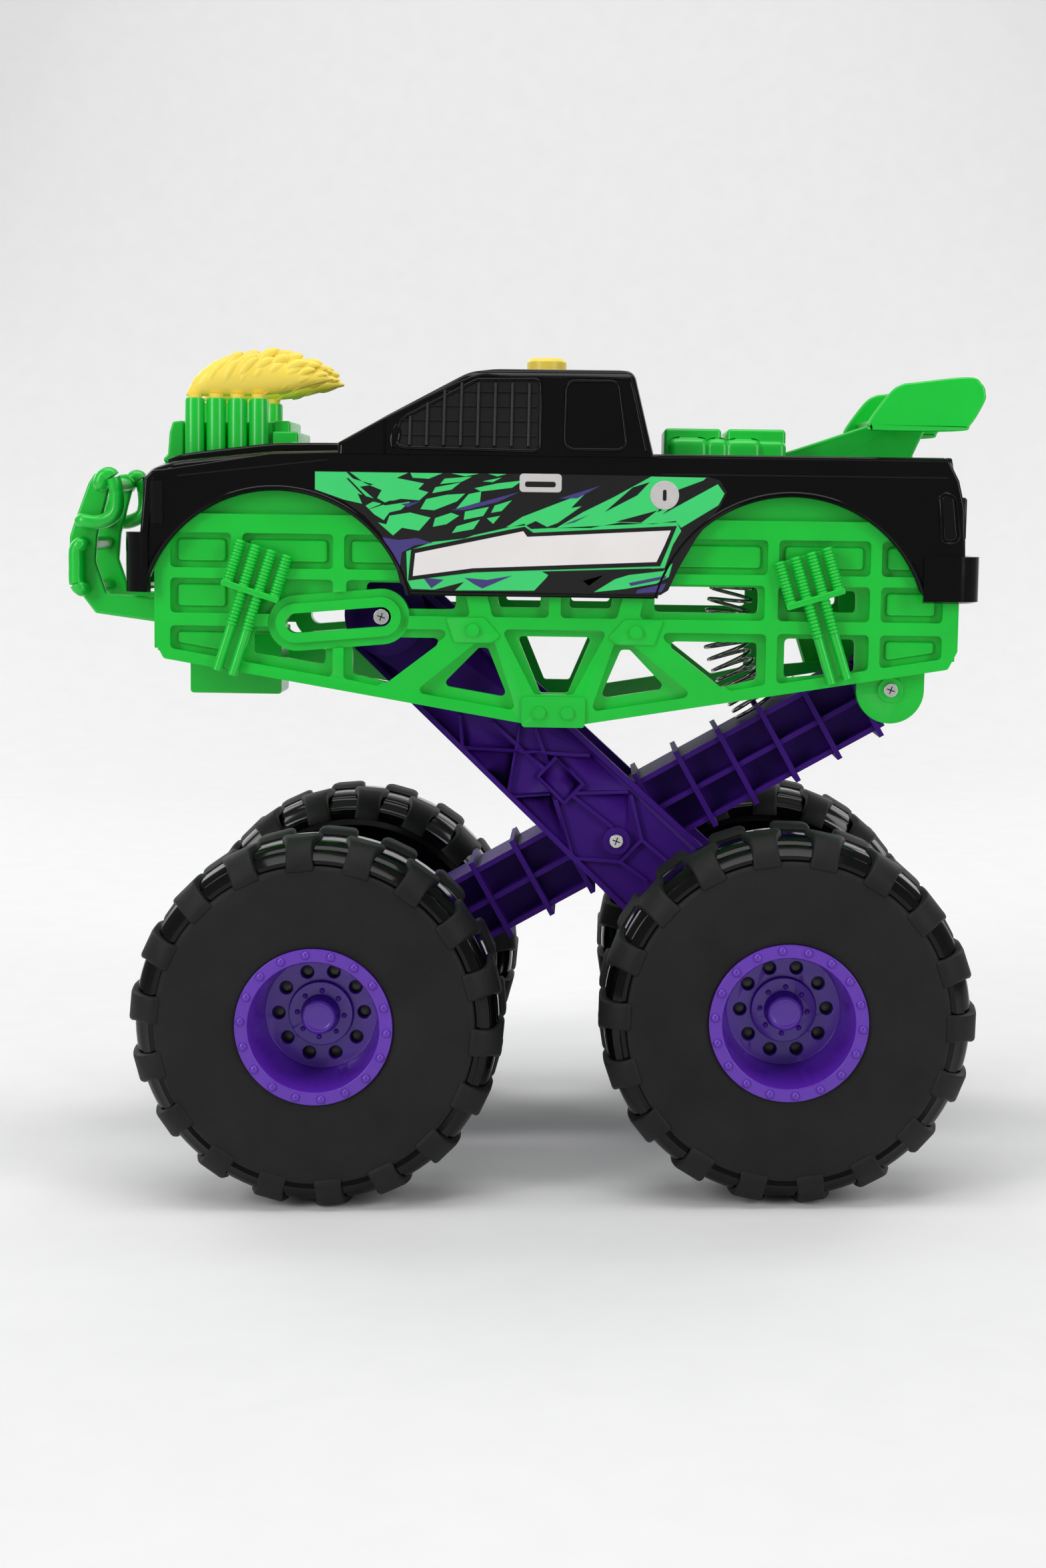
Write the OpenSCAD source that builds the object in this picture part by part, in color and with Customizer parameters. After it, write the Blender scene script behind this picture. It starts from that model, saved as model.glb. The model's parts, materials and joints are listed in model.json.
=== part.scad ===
// Lift-up monster truck toy: a hollow pickup body on a truss chassis, carried by two scissor arms.
// Frame: +X forward, +Y to the truck's left, +Z up, origin on the ground below the middle of the box.

/* [Wheels] */
// Diameter over the tyre lugs
wheel_d = 160; // [130:1:184]
// Width of one wheel
wheel_w = 62; // [50:1:76]
// Distance between the front and rear axles
wheelbase = 200; // [166:1:240]
// Gap between a body side and the inner face of a wheel
wheel_gap = 1.5; // [1:0.1:3]
// Diameter of the rim's outer ring
rim_d = 67; // [56:1:80]
// Width of the rim's outer ring
rim_lip = 5.5; // [3:0.1:7]
// Depth of the dish inside the rim
dish_depth = 33; // [26:1:40]
// Diameter of the hub cap
hub_cap_d = 14.6; // [12:0.1:17]
// Diameter of the axle rods
axle_d = 5; // [4:0.1:6]
// Diameter of the sleeves around the axle rods
sleeve_d = 14; // [11:0.5:17]

/* [Arms] */
// Height of the rear pivot above the ground
pivot_z = 214.3; // [200:0.1:240]
// Height of the slot's rear end above the rear pivot, in the body's own frame
slot_rise = 29.4; // [24:0.1:35]
// Travel of the pin along the slot
slot_travel = 38; // [38:0.5:45]
// Fall of the slot towards its front end
slot_fall = 3.4; // [3:0.1:4]
// Width of the slot
slot_w = 8.6; // [7.6:0.1:10.3]
// Clearance between the slot and its pin, on each side
slot_clear = 0.9; // [0.7:0.05:1.2]
// Drop of the crossing pivot below the lines between the arm ends
pivot_drop = 3; // [2:0.1:4]
// Width over the box arm's fins
beam_w = 48; // [40:1:50]
// Height of the box arm
beam_h = 32; // [27:1:36]
// Height of the box arm's fins
fin_h = 39; // [37:1:42]
// Thickness of a fin, flange or rib
rib_t = 2.4; // [2:0.1:3]
// Distance between fins
fin_step = 21.3; // [17.5:0.1:25.6]
// Distance from the rear pivot to the first fin
fin_start = 11.6; // [10:0.1:13]
// Thickness of each plate arm
plate_t = 5; // [4:0.5:6]
// Width of a plate arm
plate_w = 45; // [38:1:48]
// Gap between a plate arm and the box arm's fins
arm_gap = 2; // [1:0.1:2.5]
// Diameter of the pivot screws and rods
screw_d = 5; // [4:0.1:6]
// Running clearance of a rod in its bore, on each side
bore_clear = 0.06; // [0.04:0.01:0.1]

/* [Chassis] */
// Nose-up pitch of the raised body, in degrees
body_pitch = 1.54; // [1:0.01:2]
// Width over the side frames
frame_w = 108; // [90:1:120]
// Thickness of a side frame
frame_t = 8; // [6.5:0.5:9.5]
// Depth of the pockets in a side frame
pocket_depth = 5; // [3:0.1:5.5]
// Length of a side frame beyond each axle
frame_overhang = 77; // [64:1:92]
// Height of the middle rail above the rear pivot
rail_rise = 27.7; // [23:0.1:33]
// Spacing between the rails
rail_step = 20; // [18:0.5:23]
// Width of a rail
rail_w = 4.6; // [3.8:0.1:5.5]
// Depth of the keel below the middle rail
keel_depth = 46; // [39:1:50]
// Thickness of the deck between the side frames
deck_t = 3; // [2:0.5:4]
// Diameter of the bull bar's tubes
bull_tube_d = 7; // [6:0.5:8.4]
// Reach of the bull bar ahead of the side frames
bull_reach = 43; // [36:1:52]

/* [Body] */
// Width over the body sides
body_w = 118; // [106:1:141]
// Height of the sill above the middle rail
sill_rise = 11.3; // [9:0.1:13.5]
// Height of the body sides
side_h = 63; // [56:1:75]
// Height of the cab above the body sides
cab_h = 37.5; // [32:0.5:45]
// Width of the roof
roof_w = 94; // [80:1:100]
// Length of the cab at its foot
cab_l = 138; // [118:1:150]
// Wall thickness of the moulded body
wall = 3; // [2:0.1:3.6]
// Radius of the wheel arches
arch_r = 59.3; // [52:0.1:68]
// Fall of the hood from the cowl to the nose
hood_fall = 8; // [5:0.5:10]
// Reach of the rear bumper behind the body sides
bumper_reach = 8; // [6:0.5:10]
// Height of a bumper
bumper_h = 20; // [16:1:24]
// Diameter of the roof button
button_d = 18; // [15:0.5:21]
// Height of the roof button
button_h = 6.5; // [5:0.5:8]

/* [Trim] */
// Diameter of an exhaust stack
stack_d = 8.8; // [7.4:0.1:10]
// Height of the exhaust stacks above the hood engine
stack_h = 12; // [10:0.5:15]
// Distance between neighbouring stacks
stack_step = 9.6; // [9:0.1:11.5]
// Height of the flames
flame_h = 21; // [17:0.5:25]
// Thickness of a flame
flame_t = 9; // [7:0.5:11]
// Width of the hood engine
engine_w = 62; // [52:1:72]
// Height of the engine blocks in the bed, above the rail
block_h = 13; // [10:0.5:16]
// Width of the rear wing
wing_w = 100; // [84:1:116]
// Height of the wing's end plates
wing_h = 24; // [20:0.5:28]
// Diameter of the shock cylinders
shock_d = 5.4; // [4.5:0.1:5.8]
// Distance between shock cylinders
shock_step = 7.2; // [6.2:0.1:8.5]
// Outer diameter of the lift spring
spring_d = 21; // [18:0.5:25]
// Distance along the box arm from the rear pivot to the spring's foot
spring_foot = 61; // [50:0.5:70]

/* [Hidden] */
$fn = 48;

green = [0, 0.76, 0.22];
purple = [0.3, 0.1, 0.6];
dark_purple = [0.15, 0.04, 0.4];
gloss_black = [0.05, 0.05, 0.05];
matte_black = [0.12, 0.12, 0.12];
yellow = [0.98, 0.85, 0.25];
steel = [0.6, 0.6, 0.6];

// Widths across the truck
frame_y = frame_w / 2;
frame_in = frame_y - frame_t;
body_y = body_w / 2;
wheel_in = body_y + wheel_gap;
beam_y = beam_w / 2;
plate_in = beam_y + arm_gap;
plate_out = plate_in + plate_t;
bracket_t = 6;
bracket_in = frame_in - bracket_t;
bull_y = 26;
bull_t = 4;

// Heights, in the body's own frame, which turns about the rear pivot
rail_z = pivot_z + rail_rise;
frame_top = rail_z + 2 * rail_step + 6;
keel_z = rail_z - keel_depth;
end_fall = 18;
sill_z = rail_z + sill_rise;
belt_z = sill_z + side_h;
roof_z = belt_z + cab_h;
cowl_z = belt_z + 3.2;
nose_z = cowl_z - hood_fall;
deck_z = frame_top - deck_t;
bed_z = belt_z - 12;
slot_z = pivot_z + slot_rise;

// The body is longest at the bull bar and the rear bumper: their round ends set the middle of the box
bull_round = 5;
bumper_round = 3;
pivot_back = 151;
bull_low_z = rail_z + 17;
bumper_mid_z = sill_z + 13;
bumper_top_z = bumper_mid_z + 2;
frame_half = wheelbase / 2 + frame_overhang;
frame_offset = -2;
bull_tip_z = bull_low_z + bull_round;
bull_tip_back = frame_half + frame_offset + bull_reach - bull_round;
bumper_tip_back = -frame_half + frame_offset - bumper_reach + bumper_round;
pivot_dx = -pivot_back - (wheelbase - 200) / 2;
reach_front = pivot_dx + (bull_tip_back - pivot_dx) * cos(body_pitch)
    - (bull_tip_z - pivot_z) * sin(body_pitch) + bull_round;
reach_rear = pivot_dx + (bumper_tip_back - pivot_dx) * cos(body_pitch)
    - (bumper_top_z - pivot_z) * sin(body_pitch) - bumper_round;
middle_x = -(reach_front + reach_rear) / 2;

// Places along the truck
front_x = middle_x + wheelbase / 2;
rear_x = middle_x - wheelbase / 2;
axle_z = wheel_d / 2;
pivot = [middle_x + pivot_dx, pivot_z];
keel_x = middle_x + frame_offset;
frame_front = keel_x + frame_half;
frame_rear = keel_x - frame_half;
outer_post = frame_half - 36.5;
inner_post = outer_post - 45;
gusset_x = inner_post * 0.376;
slot_rear = [keel_x + inner_post - 19, slot_z];
slot_front = slot_rear + [slot_travel, -slot_fall];
arch_half = wheelbase / 2 + 13;
arch_front = [middle_x + 8 + arch_half, rail_z - 3];
arch_rear = [middle_x + 8 - arch_half, rail_z - 3];
nose_x = frame_front + 5;
tail_x = frame_rear - 2;
cab_front = frame_front - 81;
cab_rear = cab_front - cab_l;

// Corner arcs of a polygon, from its corner points and one radius
function unit(v) = v / norm(v);
function arc(c, r, from, sweep, n = 3) =
    [for (i = [0:n]) c + r * [cos(from + sweep * i / n), sin(from + sweep * i / n)]];
function half_turn_angle(a) = a > 180 ? a - 360 : a < -180 ? a + 360 : a;
function corner(a, p, b, r) =
    let (u = unit(a - p), v = unit(b - p), half = acos(u * v) / 2)
    let (c = p + unit(u + v) * r / sin(half), t = r / tan(half))
    let (s = p + u * t - c, e = p + v * t - c, from = atan2(s.y, s.x))
    arc(c, r, from, half_turn_angle(atan2(e.y, e.x) - from));
function rounded(pts, r) = let (n = len(pts))
    [for (i = [0:n - 1]) each corner(pts[(i + n - 1) % n], pts[i], pts[(i + 1) % n], r)];
function turned(p, a) = [p.x * cos(a) - p.y * sin(a), p.x * sin(a) + p.y * cos(a)];
function to_ground(p) = pivot + turned(p - pivot, body_pitch);
function crossing(a, b, c, d) =
    let (u = b - a, v = d - c, w = c - a)
    a + u * (w.x * v.y - w.y * v.x) / (u.x * v.y - u.y * v.x);
function box_points(x0, x1, z0, z1) = [[x0, z0], [x1, z0], [x1, z1], [x0, z1]];

// Ends of the arms, in the ground's frame
front_end = [front_x, axle_z];
rear_end = [rear_x, axle_z];
slot_pin = to_ground(slot_rear);
cross_at = crossing(pivot, front_end, rear_end, slot_pin) - [0, pivot_drop];
beam_angle = atan2(front_end.y - pivot.y, front_end.x - pivot.x);
beam_l = norm(front_end - pivot);
plate_angle = atan2(slot_pin.y - rear_end.y, slot_pin.x - rear_end.x);
plate_l = norm(slot_pin - rear_end);
cross_along = (cross_at - rear_end) * unit(slot_pin - rear_end);

// A flat outline in X and Z, given thickness from y0 to y1
module slab(y0, y1) {
    translate([0, y1, 0]) rotate([90, 0, 0]) linear_extrude(y1 - y0) children();
}
module outline(pts, y0, y1) { slab(y0, y1) polygon(pts); }
module rod(at, r, y0, y1) {
    translate([at.x, y0, at.y]) rotate([-90, 0, 0]) cylinder(r = r, h = y1 - y0);
}
module both_sides() {
    children();
    mirror([0, 1, 0]) children();
}
module on_side(s) {
    if (s > 0) children();
    else mirror([0, 1, 0]) children();
}
// Turns what is drawn in the body's own frame to its raised pose
module on_body() {
    translate([pivot.x, 0, pivot.y]) rotate([0, -body_pitch, 0]) translate([-pivot.x, 0, -pivot.y])
        children();
}

// ---- Side frames ----
function keel_line(x) = let (d = abs(x - keel_x), half = 14, end = frame_half - 4)
    d < half ? keel_z + 1.6 : keel_z + 1.6 + (d - half) * (keel_depth - end_fall - 1.6) / (end - half);
frame_outline = rounded([
    [frame_front, frame_top], [frame_front, rail_z - 10], [frame_front - 4, rail_z - end_fall],
    [keel_x + 14, keel_z + 1.6], [keel_x - 14, keel_z + 1.6],
    [frame_rear + 4, rail_z - end_fall], [frame_rear, rail_z - 10], [frame_rear, frame_top]], 2);
// One bay between two posts and two rails, with its floor following the keel where needed
function bay(x0, x1, z0, z1) = rounded(box_points(x0, x1, z0, z1), 2);
function low_bay(x0, x1, edge = 5) = rounded([
    [x0, keel_line(x0) + edge], [x1, keel_line(x1) + edge], [x1, rail_z - rail_w / 2 - 1],
    [x0, rail_z - rail_w / 2 - 1]], 2);
post_half = 2.4;
top_rail = rail_z + 2 * rail_step;
row = [rail_z + rail_w / 2, rail_z + rail_step - rail_w / 2, rail_z + rail_step + rail_w / 2,
    top_rail - rail_w / 2];

module frame_openings() {
    for (s = [-1, 1]) {
        // windows beside the gussets, above the middle rail
        polygon(bay_at(s, gusset_x + 8, inner_post - (s > 0 ? 12 : 6), row[0] + 3, row[1] - 1));
        // windows between the middle post and the gussets' upper braces
        polygon(rounded(mirrored(s, [[6.4, row[0] + 4.2], [gusset_x - 11.5, row[0] + 4.2],
            [gusset_x - 9, row[1] - 1], [6.4, row[1] - 1]]), 1.5));
        // triangles below the middle rail
        polygon(rounded(mirrored(s, [
            [gusset_x + 12, rail_z - 7.5], [inner_post - 6, rail_z - 7.5],
            [inner_post - 6, keel_line(keel_x + inner_post) + 7],
            [gusset_x + 38, keel_line(keel_x + gusset_x + 38) + 7]]), 1.8));
        polygon(rounded(mirrored(s, [
            [gusset_x - 6.5, rail_z - 11.5], [gusset_x - 2.5, rail_z - 11.5],
            [gusset_x + 14, keel_line(keel_x + gusset_x + 14) + 10],
            [gusset_x - 15.5, keel_line(keel_x + gusset_x - 15.5) + 10]]), 1.8));
    }
    // the trapezium between the gussets' lower braces
    polygon(rounded([[keel_x - 16.5, rail_z - 6.2], [keel_x + 16.5, rail_z - 6.2],
        [keel_x + 6, rail_z - 31.2], [keel_x - 6, rail_z - 31.2]], 1.5));
    // the bay behind the front shocks and the two beside the rear shocks
    polygon(rounded([[keel_x + inner_post + 6, rail_z - 20], [keel_x + outer_post - 7, rail_z - 15],
        [keel_x + outer_post - 7, rail_z - 5.5], [keel_x + inner_post + 6, rail_z - 5.5]], 2));
    polygon(bay(keel_x - outer_post + 8, keel_x - inner_post - 6, row[0] + 4, row[1] - 2));
    polygon(rounded([[keel_x - outer_post + 8, rail_z - 20], [keel_x - inner_post - 6, rail_z - 23],
        [keel_x - inner_post - 6, rail_z - 5.5], [keel_x - outer_post + 8, rail_z - 5.5]], 2));
}
function mirrored(s, pts) = let (out = [for (p = pts) [keel_x + s * p.x, p.y]])
    s > 0 ? out : [for (i = [len(out) - 1:-1:0]) out[i]];
function bay_at(s, x0, x1, z0, z1) = rounded(mirrored(s, box_points(x0, x1, z0, z1)), 2);

module frame_pockets() {
    for (s = [-1, 1]) {
        for (b = [[row[0], row[1]], [row[2], row[3]]]) {
            polygon(bay_at(s, outer_post + post_half, frame_half - 7, b[0], b[1]));
            polygon(bay_at(s, inner_post + post_half, outer_post - post_half, b[0], b[1]));
        }
        polygon(bay_at(s, gusset_x + 4, inner_post - post_half, row[2], row[3]));
        polygon(rounded(mirrored(s, [[gusset_x + 1, row[0]], [gusset_x + 5, row[1]],
            [inner_post - post_half - 1, row[1]], [inner_post - post_half - 1, row[0]]]), 2));
        polygon(rounded(mirrored(s, [[2.6, row[0]], [gusset_x - 8.5, row[0]], [gusset_x - 4.5, row[1]],
            [2.6, row[1]]]), 2));
        polygon(mirror_if(s, low_bay(keel_x + outer_post + post_half, keel_x + frame_half - 7)));
        polygon(mirror_if(s, low_bay(keel_x + inner_post + post_half, keel_x + outer_post - post_half)));
        polygon(rounded(mirrored(s, [
            [gusset_x + 8, rail_z - 3.5], [inner_post - post_half, rail_z - 3.5],
            [inner_post - post_half, keel_line(keel_x + inner_post) + 5],
            [gusset_x + 42, keel_line(keel_x + gusset_x + 42) + 5]]), 2));
        polygon(rounded(mirrored(s, [
            [gusset_x - 9.5, rail_z - 8.6], [gusset_x - 1.5, rail_z - 9],
            [gusset_x + 26, keel_line(keel_x + gusset_x + 26) + 5],
            [gusset_x - 19.5, keel_line(keel_x + gusset_x - 19.5) + 5]]), 2));
    }
    polygon(rounded([[keel_x - 23.5, rail_z - 3], [keel_x + 23.5, rail_z - 3],
        [keel_x + 8.5, rail_z - 31.6], [keel_x - 8.5, rail_z - 31.6]], 2));
}
function mirror_if(s, pts) = s > 0 ? pts
    : [for (i = [len(pts) - 1:-1:0]) [2 * keel_x - pts[i].x, pts[i].y]];

module slot_shape(r) {
    a = atan2(slot_front.y - slot_rear.y, slot_front.x - slot_rear.x);
    polygon([each arc(slot_rear, r, a + 90, 180, 16), each arc(slot_front, r, a - 90, 180, 16)]);
}
module side_frame(s) color(green) on_body() on_side(s) {
    difference() {
        outline(frame_outline, frame_in, frame_y);
        slab(frame_y - pocket_depth, frame_y + 1) difference() {
            frame_pockets();
            slot_shape(slot_w / 2 + 8);
        }
        slab(frame_in - 1, frame_y + 1) difference() {
            frame_openings();
            slot_shape(slot_w / 2 + 8);
        }
        slab(frame_in - 1, frame_y + 1) slot_shape(slot_w / 2);
        slab(frame_y - pocket_depth / 2, frame_y + 1) difference() {
            slot_shape(slot_w / 2 + 8);
            slot_shape(slot_w / 2 + 4.4);
        }
    }
    // keel block and gusset plates with their rivets
    outline(rounded(box_points(keel_x - 14, keel_x + 14, keel_z, keel_z + 13.5), 1.5),
        frame_y - 1, frame_y + 1.4);
    for (x = [-6.2, 6.2]) rod([keel_x + x, keel_z + 6.5], 2.8, frame_y, frame_y + 2.6);
    for (s2 = [-1, 1]) {
        outline(rounded(mirrored(s2, [
            [gusset_x - 8, rail_z - 9], [gusset_x + 8, rail_z - 9], [gusset_x + 12, rail_z + 2],
            [gusset_x - 5, rail_z + 2], [gusset_x - 12, rail_z - 6]]), 1),
            frame_y - pocket_depth - 0.5, frame_y + 1);
        rod([keel_x + s2 * gusset_x, rail_z - 3.5], 2.8, frame_y, frame_y + 2.6);
    }
}

// ---- Parts between the side frames ----
module chassis_deck() color(green) on_body() {
    outline(box_points(frame_rear, frame_front, deck_z, frame_top), -frame_in, frame_in);
    outline(box_points(frame_front - deck_t, frame_front, rail_z - 15, deck_z), -frame_in, frame_in);
    outline(box_points(frame_rear, frame_rear + deck_t, rail_z - 15, deck_z), -frame_in, frame_in);
    outline(box_points(frame_front, frame_front + 5, rail_z - 15, rail_z - 3.5), -bull_y, bull_y);
    outline(box_points(skid_front - skid_l, frame_front - deck_t, skid_top, skid_top + deck_t), -20, 20);
    both_sides() outline(box_points(frame_rear, frame_front, deck_z - 12, deck_z),
        frame_in - deck_t, frame_in);
}
skid_l = 42;
skid_front = frame_front - 9.5;
skid_top = rail_z - 8.5;
module skid_box() color(green) on_body()
    outline(rounded(box_points(skid_front - skid_l, skid_front, rail_z - 36, skid_top), 1.5), -14, 14);
module rear_bracket() color(green) on_body() both_sides() {
    difference() {
        union() {
            rod(pivot, 15, bracket_in, frame_in);
            outline(box_points(pivot.x - 15, pivot.x + 15, pivot.y, deck_z - 12), bracket_in, frame_in);
            rod(pivot, 5.5, frame_in, frame_in + 1.5);
        }
        rod(pivot, screw_d / 2, bracket_in - 1, frame_in + 3);
    }
}
module rear_pivot_rod() color(steel) on_body() {
    rod(pivot, screw_d / 2, -frame_in - 1.5, frame_in + 1.5);
    both_sides() rod(pivot, screw_d / 2 + 0.6, frame_in + 1.5, frame_in + 3);
}

// ---- Bull bar ----
bull_x = frame_front + bull_reach;
bull_outline = [
    [frame_front, rail_z - 3.5], [bull_x - 12, rail_z + 0.5], [bull_x - 0.001, bull_low_z],
    [bull_x - 0.001, rail_z + 37], [bull_x - 14.5, rail_z + 66], [bull_x - 19, rail_z + 63],
    [bull_x - 13, rail_z + 36], [bull_x - 12, rail_z + 24], [bull_x - 17, rail_z + 9.5],
    [frame_front, rail_z + 8]];
module bull_bar_plates() color(green) on_body() difference() {
    both_sides() outline(bull_outline, bull_y, bull_y + bull_t);
    bull_rods(bull_r + 0.02);
}
bull_points = [
    [bull_x - 15, rail_z + 58], [bull_x - 7, rail_z + 41], [bull_x - 5.6, rail_z + 31],
    [bull_x - 6.5, rail_z + 11]];
bull_r = bull_tube_d / 2;
// A flat bar with round ends between two points
function capsule(a, b, r) = let (along = atan2(b.y - a.y, b.x - a.x))
    [each arc(a, r, along + 90, 180, 8), each arc(b, r, along - 90, 180, 8)];
module bull_rods(r) for (p = bull_points) rod(p, r, -bull_y - bull_t - 1, bull_y + bull_t + 1);
module bull_bar_tubes() color(green) on_body() {
    bull_rods(bull_r);
    both_sides() for (i = [0, 2]) outline(capsule(bull_points[i], bull_points[i + 1], bull_r + 0.3),
        bull_y + bull_t, bull_y + bull_t + bull_tube_d);
}

// ---- Body ----
side_outline = [
    [nose_x - 3, nose_z - 8], [nose_x, sill_z + 27], [nose_x - 3, sill_z + 20],
    [arch_front.x + arch_r + 8, sill_z + 12], [arch_front.x + arch_r, sill_z],
    [arch_rear.x - arch_r, sill_z], [tail_x + 2, sill_z],
    [tail_x, sill_z + 25], [tail_x + 6, belt_z - 2], [tail_x + 9, belt_z], [cab_front - 2, belt_z],
    [nose_x - 6, nose_z - 3]];
module body_side(s) color(gloss_black) on_body() on_side(s) difference() {
    outline(side_outline, frame_y, body_y);
    for (c = [arch_front, arch_rear]) rod(c, arch_r, frame_y - 1, body_y + 1);
    outline(box_points(nose_x - 12, nose_x + 30, sill_z - 30, sill_z - 0.5), frame_y - 1, body_y + 1);
}
hood_profile = [
    [cab_front, cowl_z], [cab_front + 29, cowl_z - 1], [nose_x - 16, nose_z + 3], [nose_x - 4, nose_z],
    [nose_x, nose_z - 3], [nose_x, nose_z - 8]];
hood_inside = [
    [frame_front + 2, nose_z - 8], [frame_front, nose_z - wall - 2],
    [nose_x - 16, nose_z + 3 - wall], [cab_front + 29, cowl_z - 1 - wall], [cab_front, cowl_z - wall]];
module hood() color(gloss_black) on_body() {
    outline([each hood_profile, each hood_inside], -frame_y, frame_y);
    both_sides() outline([each hood_profile, [frame_front, nose_z - 8], [frame_front - 2, nose_z - 6],
        [cab_front, belt_z - 3]], frame_y - 3, frame_y);
}
cab_profile = [
    [cab_front, belt_z + 0.01], [cab_front, cowl_z], [cab_front - 22, belt_z + 16],
    [cab_front - 57, roof_z - 2.3], [cab_front - 63, roof_z - 0.5], [cab_front - 90, roof_z],
    [cab_front - 115, roof_z - 0.5], [cab_front - 127, roof_z - 2], [cab_front - 130, roof_z - 5],
    [cab_rear + 2, belt_z + 8], [cab_rear, belt_z + 0.01]];
// The cab's outer form, drawn in by d on every side but its open foot
module cab_form(d) intersection() {
    slab(-body_y, body_y) offset_in(d) polygon(cab_profile);
    translate([cab_rear - 10, 0, 0]) rotate([90, 0, 90]) linear_extrude(cab_l + 20)
        polygon([[-body_y + d, belt_z - 5 + 0.01], [body_y - d, belt_z - 5 + 0.01],
            [body_y - d, belt_z], [roof_w / 2 - d, roof_z - d + 2],
            [-roof_w / 2 + d, roof_z - d + 2], [-body_y + d, belt_z]]);
}
module offset_in(d) {
    if (d == 0) children();
    else intersection_for (v = [[d, 0], [-d, 0], [0, -d]]) translate(v) children();
}
button_x = cab_front - 90;
window_front = cab_front - 30;
window_mid = cab_front - 57;
window_rear = cab_front - 88.5;
side_glass = rounded([[window_front, belt_z - 1 + 2], [window_front, belt_z + 11], [window_mid, roof_z - 6],
    [window_rear, roof_z - 5.5], [window_rear, belt_z + 1]], 1.5);
quarter_glass = rounded([[window_rear - 11, roof_z - 6.5], [window_rear - 33, roof_z - 6.5],
    [window_rear - 38, belt_z + 2], [window_rear - 11, belt_z + 2]], 1.5);
screen_y = roof_w / 2 - 6;
screen = [[cab_front - 8, cowl_z - 4], [cab_front - 57, roof_z - 10.5], [cab_front - 50, roof_z + 3],
    [cab_front, cowl_z + 9]];
back_glass = [[cab_rear + 5.5, belt_z + 6], [cab_rear + 9.5, roof_z - 7], [cab_rear - 14, roof_z - 7],
    [cab_rear - 14, belt_z + 6]];
module cab() color(gloss_black) on_body() difference() {
    cab_form(0);
    cab_form(wall);
    translate([button_x, 0, roof_z - 9]) cylinder(d = button_d + 0.6, h = 20);
    outline(box_points(cab_rear + wall, cab_front - wall - 6, belt_z - 6, belt_z + wall + 0.02),
        -body_y + wall, body_y - wall);
    outline(side_glass, -body_y - 1, body_y + 1);
    outline(screen, -screen_y, screen_y);
    outline(back_glass, -screen_y + 4, screen_y - 4);
    difference() {
        outline(quarter_glass, -body_y - 1, body_y + 1);
        cab_form(1.2);
    }
}
module window_in(from, to) intersection() {
    difference() {
        cab_form(from);
        cab_form(to);
    }
    children();
}
module side_window(s) color(matte_black) on_body() on_side(s) {
    window_in(1.2, wall) outline(side_glass, 0, body_y + 1);
    window_in(0.4, 1.2) for (i = [0:7])
        outline(box_points(window_rear + 5 + 7.4 * i, window_rear + 6.6 + 7.4 * i, belt_z + 4,
            min(roof_z - 9, belt_z + 9 + 0.79 * (window_front - window_rear - 7.4 * i - 6.6))), 0, body_y + 1);
}
module windshield() color(gloss_black) on_body()
    window_in(0.8, wall) outline(screen, -screen_y, screen_y);
module rear_window() color(gloss_black) on_body()
    window_in(0.8, wall) outline(back_glass, -screen_y + 4, screen_y - 4);
module bed() color(gloss_black) on_body() {
    outline(box_points(tail_x + 10, cab_rear, bed_z - wall, bed_z), -frame_y, frame_y);
    outline(box_points(cab_rear - wall, cab_rear, bed_z, belt_z), -frame_y, frame_y);
    both_sides() outline(box_points(tail_x + 10, cab_rear - wall, bed_z, belt_z), frame_y - wall, frame_y);
}
module tailgate() color(gloss_black) on_body() {
    outline([[tail_x, sill_z + 19], [frame_rear, sill_z + 19], [frame_rear, frame_top],
        [tail_x + 10, frame_top], [tail_x + 10, belt_z], [tail_x + 7, belt_z], [tail_x, sill_z + 27]],
        -frame_y, frame_y);
}
module grille() color(gloss_black) on_body() difference() {
    outline(box_points(frame_front, frame_front + 5, sill_z + 27, nose_z - 8), -frame_y, frame_y);
    for (i = [0:3]) outline(box_points(frame_front + 3, frame_front + 6, sill_z + 29.5 + 5.2 * i,
        sill_z + 32.5 + 5.2 * i), -lamp_in + 3, lamp_in - 3);
    both_sides() outline(box_points(frame_front + 3, frame_front + 6, sill_z + 30, nose_z - 11),
        lamp_in, frame_y - 3);
}
lamp_in = frame_y - 19;
module front_bumper() color(gloss_black) on_body()
    outline([[frame_front, sill_z - 1], [frame_front + 7, sill_z - 1], [frame_front + 10.5, sill_z + 13],
        [frame_front + 9.5, sill_z + 26], [frame_front, sill_z + 27]], -frame_y, frame_y);
bumper_x = frame_rear - bumper_reach;
module rear_bumper() color(gloss_black) on_body() {
    outline(box_points(bumper_x + bumper_round, frame_rear, bumper_mid_z - bumper_h / 2 - 1,
        bumper_top_z + bumper_round), -frame_y, frame_y);
    outline(box_points(bumper_x, bumper_x + bumper_round, bumper_mid_z - bumper_h / 2 + 3, bumper_top_z),
        -frame_y, frame_y);
    rod([bumper_x + bumper_round, bumper_top_z], bumper_round, -frame_y, frame_y);
}
module roof_button() color(yellow) on_body() {
    translate([button_x, 0, roof_z - wall - 3]) cylinder(d = button_d, h = wall + 3 + button_h - 1.5);
    translate([button_x, 0, roof_z + button_h - 1.5]) cylinder(d1 = button_d, d2 = button_d - 3, h = 1.5);
}

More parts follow.
